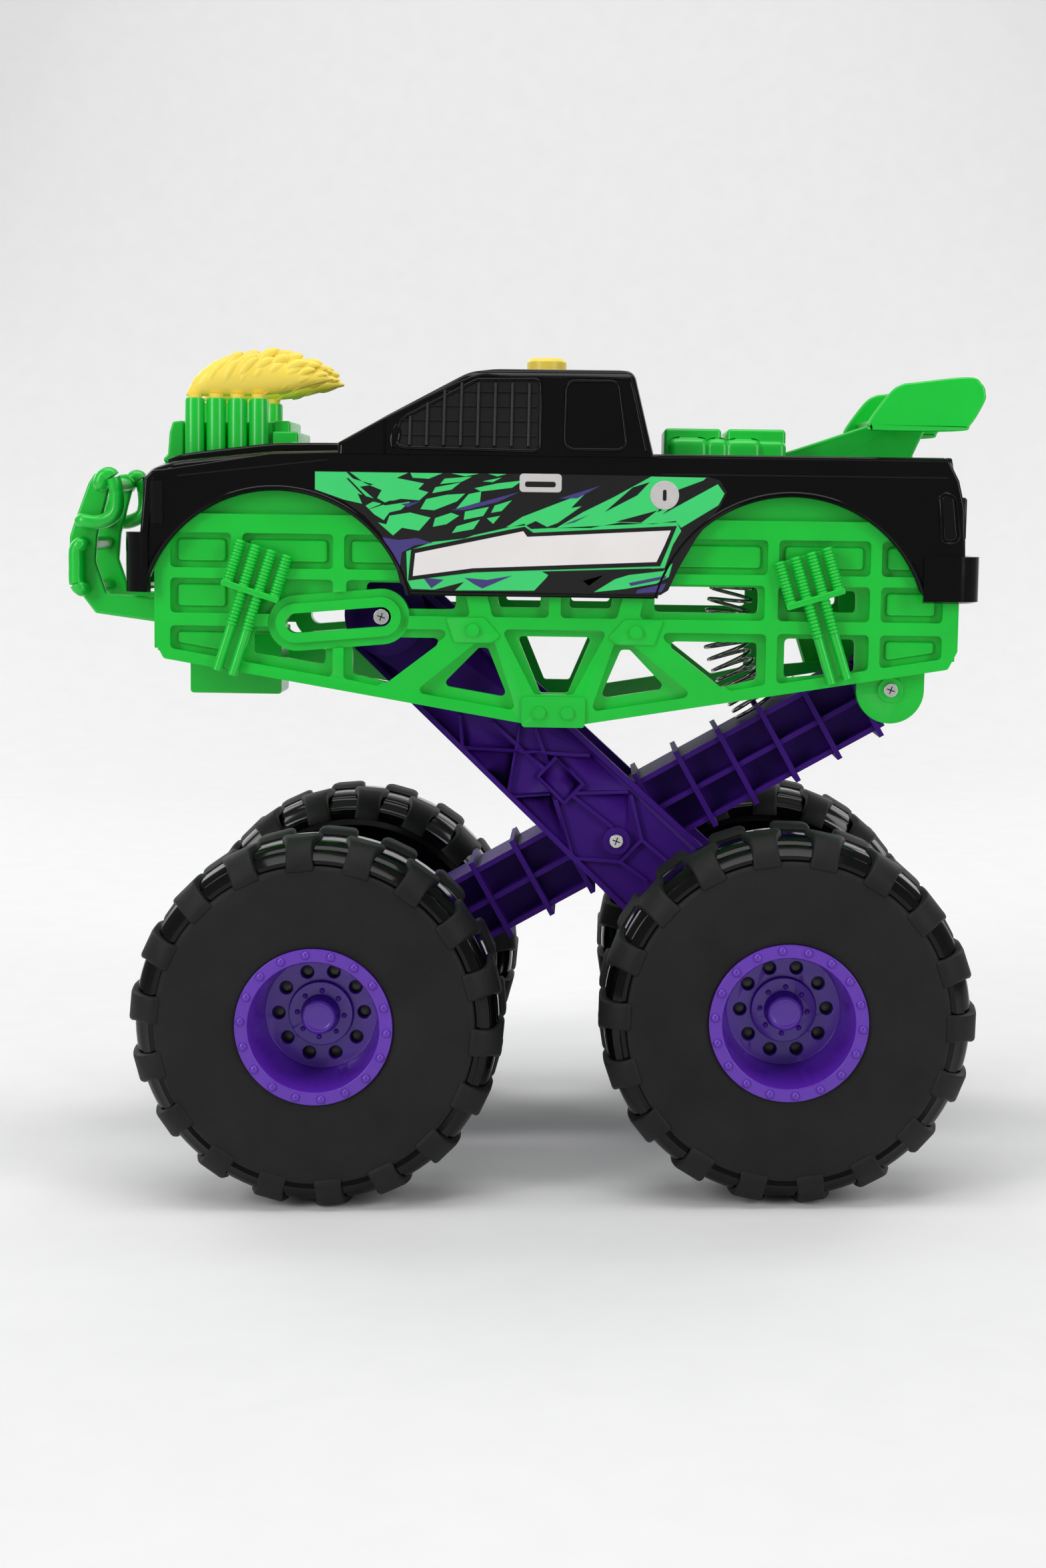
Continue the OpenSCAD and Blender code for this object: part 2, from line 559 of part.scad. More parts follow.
// ---- Engines, stacks and flames ----
engine_x = nose_x - 35;
engine_z = cowl_z - 3;
engine_top = engine_z + 11;
stack_y = engine_w / 2 - stack_d / 2 - 1;
module hood_engine() color(green) on_body() difference() {
    union() {
        outline(rounded(box_points(engine_x - 22, engine_x + 26, engine_z - 12, engine_top), 1.5),
            -engine_w / 2, engine_w / 2);
        outline(rounded(box_points(engine_x - 30, engine_x - 21, engine_z - 8, engine_top - 1), 1.5), -20, 20);
    }
    outline([each hood_profile, [cab_front, nose_z - 8]], -body_y, body_y);
}
module exhaust_stacks() color(green) on_body() both_sides()
    for (i = [-1.5:1.5]) translate([engine_x + 2 + stack_step * i, stack_y, engine_top])
        cylinder(d = stack_d, h = stack_h);
flame_z = engine_top + stack_h;
flame_outline = [
    [engine_x - 18, flame_z], [engine_x + 21, flame_z], [engine_x + 24, flame_z + 3],
    [engine_x + 18, flame_z + flame_h * 0.6], [engine_x + 6, flame_z + flame_h * 0.95],
    [engine_x - 18, flame_z + flame_h], [engine_x - 28, flame_z + flame_h * 0.8],
    [engine_x - 47, flame_z + flame_h * 0.46], [engine_x - 36, flame_z + flame_h * 0.12]];
module flame(s) color(yellow) on_body() on_side(s)
    outline(rounded(flame_outline, 1.5), stack_y - flame_t / 2, stack_y + flame_t / 2);
block_x = cab_rear - 6.5;
block_l = 26;
module bed_engine() color(green) on_body() for (i = [0, 1]) {
    x1 = block_x - i * (block_l + 2);
    outline(rounded(box_points(x1 - block_l, x1, bed_z, belt_z + block_h), 3), -30, 30);
    if (i == 0) outline(box_points(x1 - block_l - 2.5, x1 - block_l + 0.5, bed_z, belt_z - 2), -24, 24);
}
pylon_foot = block_x - 2 * block_l - 8;
wing_front = pylon_foot - 27;
wing_z = belt_z + 15;
module pylon_plates() both_sides() outline([[pylon_foot - 55, bed_z], [pylon_foot, bed_z],
    [pylon_foot, belt_z + 2], [wing_front - 8, wing_z + 2], [wing_front - 28, wing_z + 7],
    [wing_front - 32, wing_z], [pylon_foot - 52, belt_z + 2]], 6, 10);
module wing_pylon() color(green) on_body() pylon_plates();
wing_plane = [[wing_front - 6, wing_z], [wing_front - 44, wing_z + 12.5], [wing_front - 44, wing_z + 15],
    [wing_front - 6, wing_z + 2.8]];
module wing() color(green) on_body() {
    difference() {
        outline(wing_plane, -wing_w / 2, wing_w / 2);
        pylon_plates();
    }
    both_sides() outline(rounded([
        [wing_front, wing_z - 4], [wing_front, wing_z + 1], [wing_front - 13, wing_z + wing_h - 10],
        [wing_front - 20, wing_z + wing_h - 7], [wing_front - 44, wing_z + wing_h - 4],
        [wing_front - 51, wing_z + wing_h - 11], [wing_front - 47, wing_z + 3],
        [wing_front - 40, wing_z - 4]], 1.2), wing_w / 2, wing_w / 2 + 3);
}

// ---- Decorative shocks on the side frames ----
shock_lean = 17.5;
shock_seat = 0.2;
shock_y = frame_y + shock_d / 2 + shock_seat;
module shock_pack(at, way) on_body() translate([at.x, 0, at.y]) rotate([0, -way * shock_lean, 0]) {
    for (i = [-1.5:1.5]) translate([shock_step * i, shock_y, 1]) cylinder(d = shock_d, h = 19);
    outline(box_points(-12.5, 12.5, -1.6, 1.6), frame_y, frame_y + shock_d + 2 * shock_seat);
    for (i = [-0.5, 0.5]) {
        translate([shock_step * i, shock_y, -16]) cylinder(d = shock_d, h = 16);
        translate([shock_step * i, shock_y, -38]) cylinder(d = 3.6, h = 23);
    }
}
shock_front = [arch_front.x + 11, rail_z + 12.5];
shock_rear = [arch_rear.x - 11, rail_z + 12.5];
module shocks(at, way, s) color(green) on_side(s) shock_pack(at, way);

// ---- Lift spring, drawn as the sleeve that its coils fill ----
spring_top_x = pivot.x + 66;
spring_mid = [spring_top_x + 5, rail_z - 6];
spring_clear = 0.3;
module spring_ring() cylinder(d = spring_d, h = 1, $fn = 32);
module spring_bow() on_body() translate([spring_mid.x, 0, spring_mid.y])
    rotate([0, -(beam_angle + body_pitch) / 2, 0]) spring_ring();
module lift_spring() color(steel) {
    hull() {
        on_body() translate([spring_top_x, 0, deck_z - 1 - spring_clear]) spring_ring();
        spring_bow();
    }
    hull() {
        spring_bow();
        along_beam() translate([spring_foot, 0, beam_h / 2 + spring_clear]) spring_ring();
    }
}

// ---- Arms ----
module along_beam() translate([pivot.x, 0, pivot.y]) rotate([0, -beam_angle, 0]) children();
module along_plate() translate([rear_end.x, 0, rear_end.y]) rotate([0, -plate_angle, 0]) children();
web_y = 10;
flange_y = beam_y - 2;
fin_end = beam_l - axle_d * 4;
module box_arm() color(dark_purple) difference() {
    union() {
        along_beam() {
            outline(box_points(0, beam_l - 4, -beam_h / 2, beam_h / 2), -web_y, web_y);
            for (z = [-beam_h / 2, -rib_t / 2, beam_h / 2 - rib_t])
                outline(box_points(8, beam_l - 6, z, z + rib_t), -flange_y, flange_y);
            difference() {
                for (x = [fin_start:fin_step:fin_end])
                    outline(box_points(x - rib_t / 2, x + rib_t / 2, -fin_h / 2, fin_h / 2), -beam_y, beam_y);
                translate([spring_foot, 0, beam_h / 2]) cylinder(d = spring_d + 1.6, h = fin_h);
            }
        }
        rod(pivot, 9, -bracket_in + 0.3, bracket_in - 0.3);
        rod(front_end, beam_h / 2, -flange_y + 0.5, flange_y - 0.5);
        rod(cross_at, 8, -plate_in + 0.3, plate_in - 0.3);
    }
    rod(pivot, screw_d / 2 + bore_clear, -frame_in, frame_in);
    rod(front_end, axle_d / 2, -frame_in, frame_in);
    rod(cross_at, screw_d / 2, -frame_in, frame_in);
}
module crossing_rod() color(steel) {
    rod(cross_at, screw_d / 2, -plate_out - 1, plate_out + 1);
    both_sides() rod(cross_at, screw_d / 2 + 0.6, plate_out + 1, plate_out + 2.5);
}
module front_axle() color(steel) {
    rod(front_end, axle_d / 2, -wheel_in - axle_reach, wheel_in + axle_reach);
    both_sides() rod(front_end, sleeve_d / 2, beam_y - 2, wheel_in - 0.5);
}
rib_depth = 2.5;
// Ribs of the plate arm: distance up from the crossing pivot and distance across, at both ends
rib_lines = [
    [[90, -10], [79, -20]], [[79, -19], [36, 17]], [[67, 5], [50, -21]], [[77, -2], [47, -1]],
    [[61, 9], [47, 2]], [[48, -20], [37, -8]], [[28, 1], [12, 17]], [[32, -8], [10, -21]],
    [[28, -1], [6, 1]], [[9, 17], [-8, 6]], [[-8, 6], [-8, -8]], [[8, -21], [-8, -8]],
    [[-8, 6], [-26, 7]], [[-8, -8], [-22, -6]], [[46, 7], [29, 6]], [[29, 6], [29, -6]],
    [[29, -6], [46, -6]], [[46, -6], [46, 7]]];
module rib(a, b) {
    along = unit(b - a) * rib_w / 2;
    across = [-along.y, along.x];
    polygon([a - along - across, b + along - across, b + along + across, a - along + across]);
}
rib_w = 1.6;
module plate_arm(s) color(dark_purple) on_side(s) difference() {
    union() {
        along_plate() {
            slab(plate_in, plate_out - rib_depth) polygon([[0, -plate_w / 2 - 2], [0, plate_w / 2 + 1],
                [plate_l, plate_w / 2 - 2], [plate_l, -plate_w / 2 + 2]]);
            for (e = [-1, 1]) outline([[0, e * (plate_w / 2 + 1.5)], [0, e * (plate_w / 2 + 1.5 - rib_t)],
                [plate_l, e * (plate_w / 2 - 2 - rib_t)], [plate_l, e * (plate_w / 2 - 2)]],
                plate_in, plate_out);
            slab(plate_out - rib_depth - 0.5, plate_out) intersection() {
                translate([cross_along, 0]) for (line = rib_lines) rib(line[0], line[1]);
                polygon([[0, -plate_w / 2 - 1], [0, plate_w / 2], [plate_l, plate_w / 2 - 3],
                    [plate_l, -plate_w / 2 + 3]]);
            }
        }
        rod(rear_end, plate_w / 2 - 3, plate_in, plate_out);
        rod(slot_pin, plate_w / 2 - 4, plate_in, plate_out);
        rod(cross_at, 6.2, plate_in, plate_out + 1);
    }
    rod(rear_end, axle_d / 2, 0, frame_y);
    rod(slot_pin, screw_d / 2, 0, frame_y);
    rod(cross_at, screw_d / 2 + bore_clear, 0, frame_y);
}
bridge_at = 62;
module arm_bridges() color(dark_purple) {
    difference() {
        rod(slot_pin, slot_w / 2 - slot_clear, -frame_y + 1, frame_y - 1);
        rod(slot_pin, screw_d / 2, -frame_y, -plate_in);
        rod(slot_pin, screw_d / 2, plate_in, frame_y);
        both_sides() rod(slot_pin, slot_w, plate_in, plate_out);
    }
    along_plate() outline(box_points(plate_l - bridge_at - 8, plate_l - bridge_at, -5, 5), -plate_in, plate_in);
}
module slot_screws() color(steel) both_sides() {
    rod(slot_pin, screw_d / 2, plate_in, frame_y - 1);
    rod(slot_pin, screw_d / 2 + 0.9, frame_y - 1, frame_y + 1);
}
axle_reach = wheel_w - dish_depth + 8;
module rear_axle() color(steel) {
    rod(rear_end, axle_d / 2, -wheel_in - axle_reach, wheel_in + axle_reach);
    rod(rear_end, sleeve_d / 2, -plate_in, plate_in);
    both_sides() rod(rear_end, sleeve_d / 2, plate_out, wheel_in - 0.5);
}

// ---- Wheels: each profile is [radius, distance out from the wheel's inner face] ----
core_r = wheel_d / 2 - 18;
rim_r = rim_d / 2;
plate_level = wheel_w - dish_depth;
hub_r = 8;
// The core's web ends and the rim's back begins at this distance out
hub_web = 23;
core_wall = 5;
face_level = wheel_w - 1.5;
face_step = 3;
bolt_hole_d = 5.6;
bolt_hole_back = 2.999;
module turned_profile(at, s, pts) on_side(s) translate([at.x, wheel_in, at.y]) rotate([-90, 0, 0])
    rotate_extrude() polygon(pts);
module tyre(at, s) color(matte_black) turned_profile(at, s, [
    [core_r, 0], [axle_z - 6, 0], [axle_z, 7], [axle_z, wheel_w - 7], [axle_z - 5, face_level],
    [rim_r, face_level], [rim_r, face_level - face_step], [core_r, face_level - face_step]]);
module core(at, s) color(gloss_black) difference() {
    union() {
        turned_profile(at, s, [
            [0, 0], [hub_r, 0], [hub_r, hub_web - 3], [core_r - core_wall, hub_web - 3],
            [core_r - core_wall, 0], [core_r, 0], [core_r, face_level - face_step],
            [core_r - core_wall, face_level - face_step], [core_r - core_wall, hub_web], [0, hub_web]]);
        on_side(s) translate([at.x, wheel_in, at.y]) for (a = [0:36:324]) rotate([0, a, 0])
            translate([hub_r - 1, 3, -0.8]) cube([core_r - core_wall - hub_r + 2, 18, 1.6]);
    }
    on_side(s) rod(at, axle_d / 2 + bore_clear, wheel_in - 1, wheel_in + wheel_w);
}
module rim(at, s) color(purple) difference() {
    turned_profile(at, s, [
        [0, hub_web], [rim_r - 4, hub_web], [rim_r, face_level - 6], [rim_r, wheel_w],
        [rim_r - rim_lip, wheel_w], [rim_r - rim_lip - 1, wheel_w - 4],
        [rim_r - rim_lip - 3.5, plate_level], [14, plate_level], [14, plate_level + 3],
        [hub_cap_d / 2 + 1, plate_level + 3], [hub_cap_d / 2, plate_level + 11.5], [0, plate_level + 11.5]]);
    on_side(s) {
        rod(at, axle_d / 2 + bore_clear, wheel_in, wheel_in + axle_reach + 1);
        translate([at.x, wheel_in + plate_level - bolt_hole_back, at.y]) for (a = [0:36:324]) rotate([0, a, 0])
            translate([18.7, 0, 0]) rotate([-90, 0, 0]) cylinder(d = bolt_hole_d, h = 10);
    }
}

side_frame(1);  // side_frame_left
side_frame(-1);  // side_frame_right
chassis_deck();
skid_box();
rear_bracket();
bull_bar_plates();
bull_bar_tubes();
body_side(1);  // body_side_left
body_side(-1);  // body_side_right
hood();
cab();
windshield();
rear_window();
side_window(1);  // side_window_left
side_window(-1);  // side_window_right
bed();
tailgate();
grille();
front_bumper();
rear_bumper();
roof_button();
hood_engine();
exhaust_stacks();
flame(1);  // flame_left
flame(-1);  // flame_right
bed_engine();
wing_pylon();
wing();
shocks(shock_front, 1, 1);  // shocks_front_left
shocks(shock_front, 1, -1);  // shocks_front_right
shocks(shock_rear, -1, 1);  // shocks_rear_left
shocks(shock_rear, -1, -1);  // shocks_rear_right
lift_spring();
rear_pivot_rod();
box_arm();
front_axle();
plate_arm(1);  // plate_arm_left
plate_arm(-1);  // plate_arm_right
arm_bridges();
crossing_rod();
rear_axle();
slot_screws();
tyre(front_end, 1);  // tyre_front_left
core(front_end, 1);  // core_front_left
rim(front_end, 1);  // rim_front_left
tyre(front_end, -1);  // tyre_front_right
core(front_end, -1);  // core_front_right
rim(front_end, -1);  // rim_front_right
tyre(rear_end, 1);  // tyre_rear_left
core(rear_end, 1);  // core_rear_left
rim(rear_end, 1);  // rim_rear_left
tyre(rear_end, -1);  // tyre_rear_right
core(rear_end, -1);  // core_rear_right
rim(rear_end, -1);  // rim_rear_right
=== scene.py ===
import json
import math
import bmesh
import bpy
import numpy as np
from mathutils import Matrix, Vector


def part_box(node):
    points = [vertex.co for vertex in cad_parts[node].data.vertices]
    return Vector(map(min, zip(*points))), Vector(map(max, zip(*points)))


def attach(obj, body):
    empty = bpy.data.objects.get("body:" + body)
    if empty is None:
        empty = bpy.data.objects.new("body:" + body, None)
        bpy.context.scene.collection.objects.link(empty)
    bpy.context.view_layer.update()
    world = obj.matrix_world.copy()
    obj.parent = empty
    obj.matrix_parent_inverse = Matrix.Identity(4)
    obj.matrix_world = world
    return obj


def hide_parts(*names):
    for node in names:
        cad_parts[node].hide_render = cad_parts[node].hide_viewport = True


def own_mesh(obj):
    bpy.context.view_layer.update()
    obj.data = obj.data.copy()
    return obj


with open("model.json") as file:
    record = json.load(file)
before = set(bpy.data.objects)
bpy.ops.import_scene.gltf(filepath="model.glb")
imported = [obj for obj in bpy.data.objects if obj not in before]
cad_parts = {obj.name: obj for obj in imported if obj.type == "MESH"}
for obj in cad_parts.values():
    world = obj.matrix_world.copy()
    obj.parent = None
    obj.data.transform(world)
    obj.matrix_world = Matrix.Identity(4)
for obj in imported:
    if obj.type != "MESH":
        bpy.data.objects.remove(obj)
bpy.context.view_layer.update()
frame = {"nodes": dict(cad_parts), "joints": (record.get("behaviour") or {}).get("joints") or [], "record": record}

# Lift-up monster truck toy. Lengths are in millimetres until a mesh is written.
# Places on the raised body are in the body's own level frame, which `raised` turns nose-up.
metre = 0.001
jointOf = {joint["name"]: joint for joint in frame["joints"]}
record = frame["record"]


def jointPlace(name):
    place = np.array(jointOf[name]["pos_m"]) / metre
    return np.array([place[0], 0.0, place[2]])


pivot = jointPlace("lift")
frontAxle = jointPlace("spin_front_left")
rearAxle = jointPlace("spin_rear_left")
beltAxis = record["mounts"][0]["axis"]
pitch = math.atan2(beltAxis[0], -beltAxis[2])  # the raised body's nose-up angle

# Levels and stations of the body, from the rear pivot
level = dict(rail=pivot[2] + 27.7, sill=pivot[2] + 39, belt=pivot[2] + 102, cowl=pivot[2] + 105.2,
             nose=pivot[2] + 97.2, roof=pivot[2] + 139.5, deck=pivot[2] + 70.7, bed=pivot[2] + 90)
station = dict(keel=pivot[0] + 149, front=pivot[0] + 326, nose=pivot[0] + 331,
               cab=pivot[0] + 245, cabBack=pivot[0] + 107, archFront=pivot[0] + 272, archRear=pivot[0] + 46,
               tail=pivot[0] - 30)
wheelInside = 60.5  # from the truck's middle to the inner end of a wheel
archRadius = 59.3
archDrop = 3.0  # the arches are centred this far below the middle rail


def turned(points, centre, angle):
    # turn about a Y axis through the centre: x' = x cos a - z sin a, z' = x sin a + z cos a
    away = np.asarray(points, float) - centre
    c, s = math.cos(angle), math.sin(angle)
    out = away.copy()
    out[..., 0] = away[..., 0] * c - away[..., 2] * s
    out[..., 2] = away[..., 0] * s + away[..., 2] * c
    return out + centre


def raised(points):
    return turned(points, pivot, pitch)


def asMade(points):
    return np.asarray(points, float)


beamAngle = math.atan2(frontAxle[2] - pivot[2], frontAxle[0] - pivot[0])


def alongBeam(points):
    # x along the box arm from the rear pivot, z across it
    return turned(np.asarray(points, float) + pivot, pivot, beamAngle)


def mirrored(points):
    return np.asarray(points, float) * [1, -1, 1]


def writeMesh(name, points, faces, material, smoothAngle=40):
    mesh = bpy.data.meshes.new(name)
    mesh.from_pydata((np.asarray(points) * metre).tolist(), [], faces)
    work = bmesh.new()
    work.from_mesh(mesh)
    bmesh.ops.remove_doubles(work, verts=work.verts, dist=1e-6)
    bmesh.ops.recalc_face_normals(work, faces=work.faces)
    work.to_mesh(mesh)
    work.free()
    mesh.polygons.foreach_set("use_smooth", np.ones(len(mesh.polygons), bool))
    mesh.set_sharp_from_angle(angle=math.radians(smoothAngle))
    mesh.materials.append(material)
    piece = bpy.data.objects.new(name, mesh)
    bpy.context.scene.collection.objects.link(piece)
    return piece


class Shape:
    # closed shells collected into one mesh

    def __init__(self):
        self.points, self.faces, self.count = [], [], 0

    def add(self, points, faces):
        self.points.append(np.asarray(points, float).reshape(-1, 3))
        self.faces += [tuple(int(i) + self.count for i in face) for face in faces]
        self.count += len(self.points[-1])
        return self

    def loft(self, rings, closed=False):
        # rings is stations x points x 3; each ring is closed, and the first and last are capped unless closed
        n, m = rings.shape[:2]
        a = np.arange(n if closed else n - 1)[:, None]
        b = np.arange(m)[None, :]
        c, d = (a + 1) % n, (b + 1) % m
        quads = np.stack([a * m + b, a * m + d, c * m + d, c * m + b], -1).reshape(-1, 4)
        faces = [tuple(q) for q in quads.tolist()]
        if not closed:
            faces += [tuple(range(m))[::-1], tuple(range((n - 1) * m, n * m))]
        return self.add(rings, faces)

    def both(self):
        # the same again on the other side
        points = np.concatenate(self.points)
        faces = list(self.faces)
        return self.add(points * [1, -1, 1], faces)

    def forSide(self, side):
        # the same shells as made for the left, or mirrored for the right
        points = np.concatenate(self.points)
        return Shape().add(points if side == "left" else mirrored(points), self.faces)

    def piece(self, name, material, body, slotName, replaces=(), place=asMade, smoothAngle=40):
        points = place(np.concatenate(self.points))
        obj = writeMesh(name, points, self.faces, material, smoothAngle)
        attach(obj, body)
        if replaces:
            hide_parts(*replaces)
        return obj


def bevelled(obj, width, segments=2, angle=35):
    bevel = obj.modifiers.new("round", "BEVEL")
    bevel.width = width * metre
    bevel.segments = segments
    bevel.limit_method = "ANGLE"
    bevel.angle_limit = math.radians(angle)
    bevel.harden_normals = True
    bevel.use_clamp_overlap = True
    return obj


def softened(node, name, material, width, body, segments=2, angle=35):
    # a copy of a CAD node with its flat faces joined up and its edges rounded
    mesh = frame["nodes"][node].data.copy()
    work = bmesh.new()
    work.from_mesh(mesh)
    bmesh.ops.remove_doubles(work, verts=work.verts, dist=2e-6)
    bmesh.ops.dissolve_limit(work, angle_limit=math.radians(1.5), verts=work.verts, edges=work.edges,
                             delimit=set())
    bmesh.ops.recalc_face_normals(work, faces=work.faces)
    work.to_mesh(mesh)
    work.free()
    mesh.materials.clear()
    mesh.materials.append(material)
    mesh.polygons.foreach_set("use_smooth", np.ones(len(mesh.polygons), bool))
    mesh.set_sharp_from_angle(angle=math.radians(40))
    obj = bpy.data.objects.new(name, mesh)
    bpy.context.scene.collection.objects.link(obj)
    bevelled(obj, width, segments, angle)
    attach(obj, body)
    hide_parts(node)
    return obj


def roundCorners(corners, radius, steps=4):
    # each corner becomes an arc that touches both of its edges
    corners = np.asarray(corners, float)
    out = []
    for before, here, after in zip(np.roll(corners, 1, 0), corners, np.roll(corners, -1, 0)):
        a, b = before - here, after - here
        lengths = np.linalg.norm(a), np.linalg.norm(b)
        a, b = a / lengths[0], b / lengths[1]
        half = math.acos(np.clip(a @ b, -1, 1)) / 2
        if abs(math.pi / 2 - half) < 0.02:
            out.append(here[None])
            continue
        r = min(radius, 0.45 * min(lengths) * math.tan(half))
        centre = here + (a + b) / np.linalg.norm(a + b) * r / math.sin(half)
        t = r / math.tan(half)
        start, end = here + a * t - centre, here + b * t - centre
        first = math.atan2(start[1], start[0])
        sweep = (math.atan2(end[1], end[0]) - first + math.pi) % (2 * math.pi) - math.pi
        angles = first + sweep * np.linspace(0, 1, steps + 1)
        out.append(centre + r * np.stack([np.cos(angles), np.sin(angles)], -1))
    return np.concatenate(out)


def drawnIn(outline, inset):
    # every point moves along the bisector of its edges until both edges have moved in by the inset
    ahead = np.roll(outline, -1, 0) - outline
    ahead /= np.maximum(np.linalg.norm(ahead, axis=1, keepdims=True), 1e-9)
    normal = np.stack([-ahead[:, 1], ahead[:, 0]], -1)
    area = np.sum(outline[:, 0] * np.roll(outline[:, 1], -1) - np.roll(outline[:, 0], -1) * outline[:, 1])
    normal *= np.sign(area)
    bisector = normal + np.roll(normal, 1, 0)
    size = np.maximum(np.sum(bisector ** 2, axis=1, keepdims=True) / 2, 0.4)
    return outline + bisector / size * inset


def slab(shape, outline, low, high, rounding=0.6, steps=3, lowRounding=None):
    # an outline in X and Z given thickness along Y, its rims rounded by quarter circles
    lowRounding = rounding if lowRounding is None else lowRounding
    # a narrow flat ring inside each rim keeps the caps level in the light
    arc = np.linspace(0, math.pi / 2, steps + 1)
    ins = np.concatenate([[lowRounding * 1.3], lowRounding * (1 - np.sin(arc)), rounding * (1 - np.cos(arc)),
                          [rounding * 1.3]])
    ys = np.concatenate([[low], low + lowRounding * (1 - np.cos(arc)), high - rounding * (1 - np.sin(arc)),
                         [high]])
    rings = []
    for inset, y in zip(ins, ys):
        flat = drawnIn(outline, inset)
        rings.append(np.stack([flat[:, 0], np.full(len(flat), y), flat[:, 1]], -1))
    return shape.loft(np.stack(rings))


def sweep(shape, path, radius, around=12, closed=False, flat=1.0, up=(0.0, 1.0, 0.0)):
    # a round section carried along a path, square to it at each point; radius may change along the path
    path = np.asarray(path, float)
    if closed:
        tangent = np.roll(path, -1, 0) - np.roll(path, 1, 0)
    else:
        tangent = np.gradient(path, axis=0)
    tangent /= np.linalg.norm(tangent, axis=1, keepdims=True)
    side = np.cross(tangent, up)
    weak = np.linalg.norm(side, axis=1) < 0.2
    side[weak] = np.cross(tangent[weak], (1.0, 0.0, 0.0))
    side /= np.linalg.norm(side, axis=1, keepdims=True)
    other = np.cross(side, tangent)
    angles = np.linspace(0, 2 * math.pi, around, endpoint=False)
    radius = np.broadcast_to(np.asarray(radius, float), (len(path),))[:, None, None]
    rings = path[:, None] + radius * (np.cos(angles)[None, :, None] * side[:, None]
                                      + flat * np.sin(angles)[None, :, None] * other[:, None])
    return shape.loft(rings, closed)


def smoothPath(corners, steps=8, closed=False):
    # a Catmull-Rom curve through the corners
    p = np.asarray(corners, float)
    if closed:
        p = np.concatenate([p[-1:], p, p[:2]])
    else:
        p = np.concatenate([2 * p[:1] - p[1:2], p, 2 * p[-1:] - p[-2:-1]])
    t = np.linspace(0, 1, steps, endpoint=False)[:, None]
    out = [0.5 * (2 * b + (c - a) * t + (2 * a - 5 * b + 4 * c - d) * t ** 2
                  + (3 * b - a - 3 * c + d) * t ** 3)
           for a, b, c, d in zip(p, p[1:], p[2:], p[3:])]
    if not closed:
        out.append(p[-2][None])
    return np.concatenate(out)


def revolve(shape, profile, centre, around=96, outward=1, start=wheelInside, ring=True):
    # a profile of [radius, distance out] turned about a Y axis through the centre; a ring's profile is a
    # closed loop, any other has both of its ends on the axis
    profile = np.asarray(profile, float)
    angles = np.linspace(0, 2 * math.pi, around, endpoint=False)
    r, y = profile[:, 0][:, None], profile[:, 1][:, None]
    rings = np.stack([centre[0] + r * np.cos(angles), outward * (start + y) + 0 * angles,
                      centre[2] + r * np.sin(angles)], -1)
    return shape.loft(rings, ring)


def dome(shape, centre, radius, height, axis, around=14, rings=4):
    # a rivet head: rings that shrink as the cosine and rise as the sine
    axis = np.asarray(axis, float) / np.linalg.norm(axis)
    side = np.cross(axis, (0.0, 0.0, 1.0) if abs(axis[2]) < 0.9 else (1.0, 0.0, 0.0))
    side /= np.linalg.norm(side)
    other = np.cross(axis, side)
    phi = np.concatenate([[0], np.linspace(0, math.pi / 2 * 0.93, rings + 1)])
    rise = height * np.sin(phi)
    rise[0] = -radius * 0.5
    angles = np.linspace(0, 2 * math.pi, around, endpoint=False)
    circle = np.cos(angles)[:, None] * side + np.sin(angles)[:, None] * other
    return shape.loft(np.asarray(centre) + radius * np.cos(phi)[:, None, None] * circle
                      + rise[:, None, None] * axis)


def roundedRing(x0, x1, half, radius, z, steps=7):
    # a rectangle in X and Y with round corners, at one level
    a = np.linspace(0, math.pi / 2, steps)
    quarter = radius * np.stack([np.cos(a), np.sin(a)], -1)
    corners = []
    for turn, cx, cy in ((0, x1 - radius, half - radius), (1, x0 + radius, half - radius),
                         (2, x0 + radius, radius - half), (3, x1 - radius, radius - half)):
        c, s = math.cos(turn * math.pi / 2), math.sin(turn * math.pi / 2)
        corners.append(np.stack([cx + quarter[:, 0] * c - quarter[:, 1] * s,
                                 cy + quarter[:, 0] * s + quarter[:, 1] * c, np.full(steps, z)], -1))
    return np.concatenate(corners)


def roundedBox(shape, xs, ys, zs, corner=2.0, over=1.5, steps=5):
    # a box with round upright corners whose top edge rolls over by a quarter circle
    (x0, x1), (y0, y1), (z0, z1) = xs, ys, zs
    rings = []
    for draw, z in [(0, z0)] + [(over * (1 - math.cos(a)), z1 - over + over * math.sin(a))
                                for a in np.linspace(0, math.pi / 2, steps)]:
        ring = roundedRing(x0 + draw, x1 - draw, (y1 - y0) / 2 - draw, max(corner - draw * 0.4, 0.3), z)
        rings.append(ring + [0, (y0 + y1) / 2, 0])
    rings.append(np.stack([rings[-1].mean(0) + (rings[-1] - rings[-1].mean(0)) * 0.9])[0])
    return shape.loft(np.stack(rings))


def railAlong(shape, plan, profile):
    # a profile of [distance out, height] carried along a path in X and Y, square to it
    plan = np.asarray(plan, float)
    ahead = np.gradient(plan, axis=0)
    ahead /= np.linalg.norm(ahead, axis=1, keepdims=True)
    out = np.stack([ahead[:, 1], -ahead[:, 0]], -1)
    profile = np.asarray(profile, float)
    flat = plan[:, None] + out[:, None] * profile[None, :, :1]
    high = np.broadcast_to(profile[None, :, 1:], flat.shape[:2] + (1,))
    return shape.loft(np.concatenate([flat, high], -1))


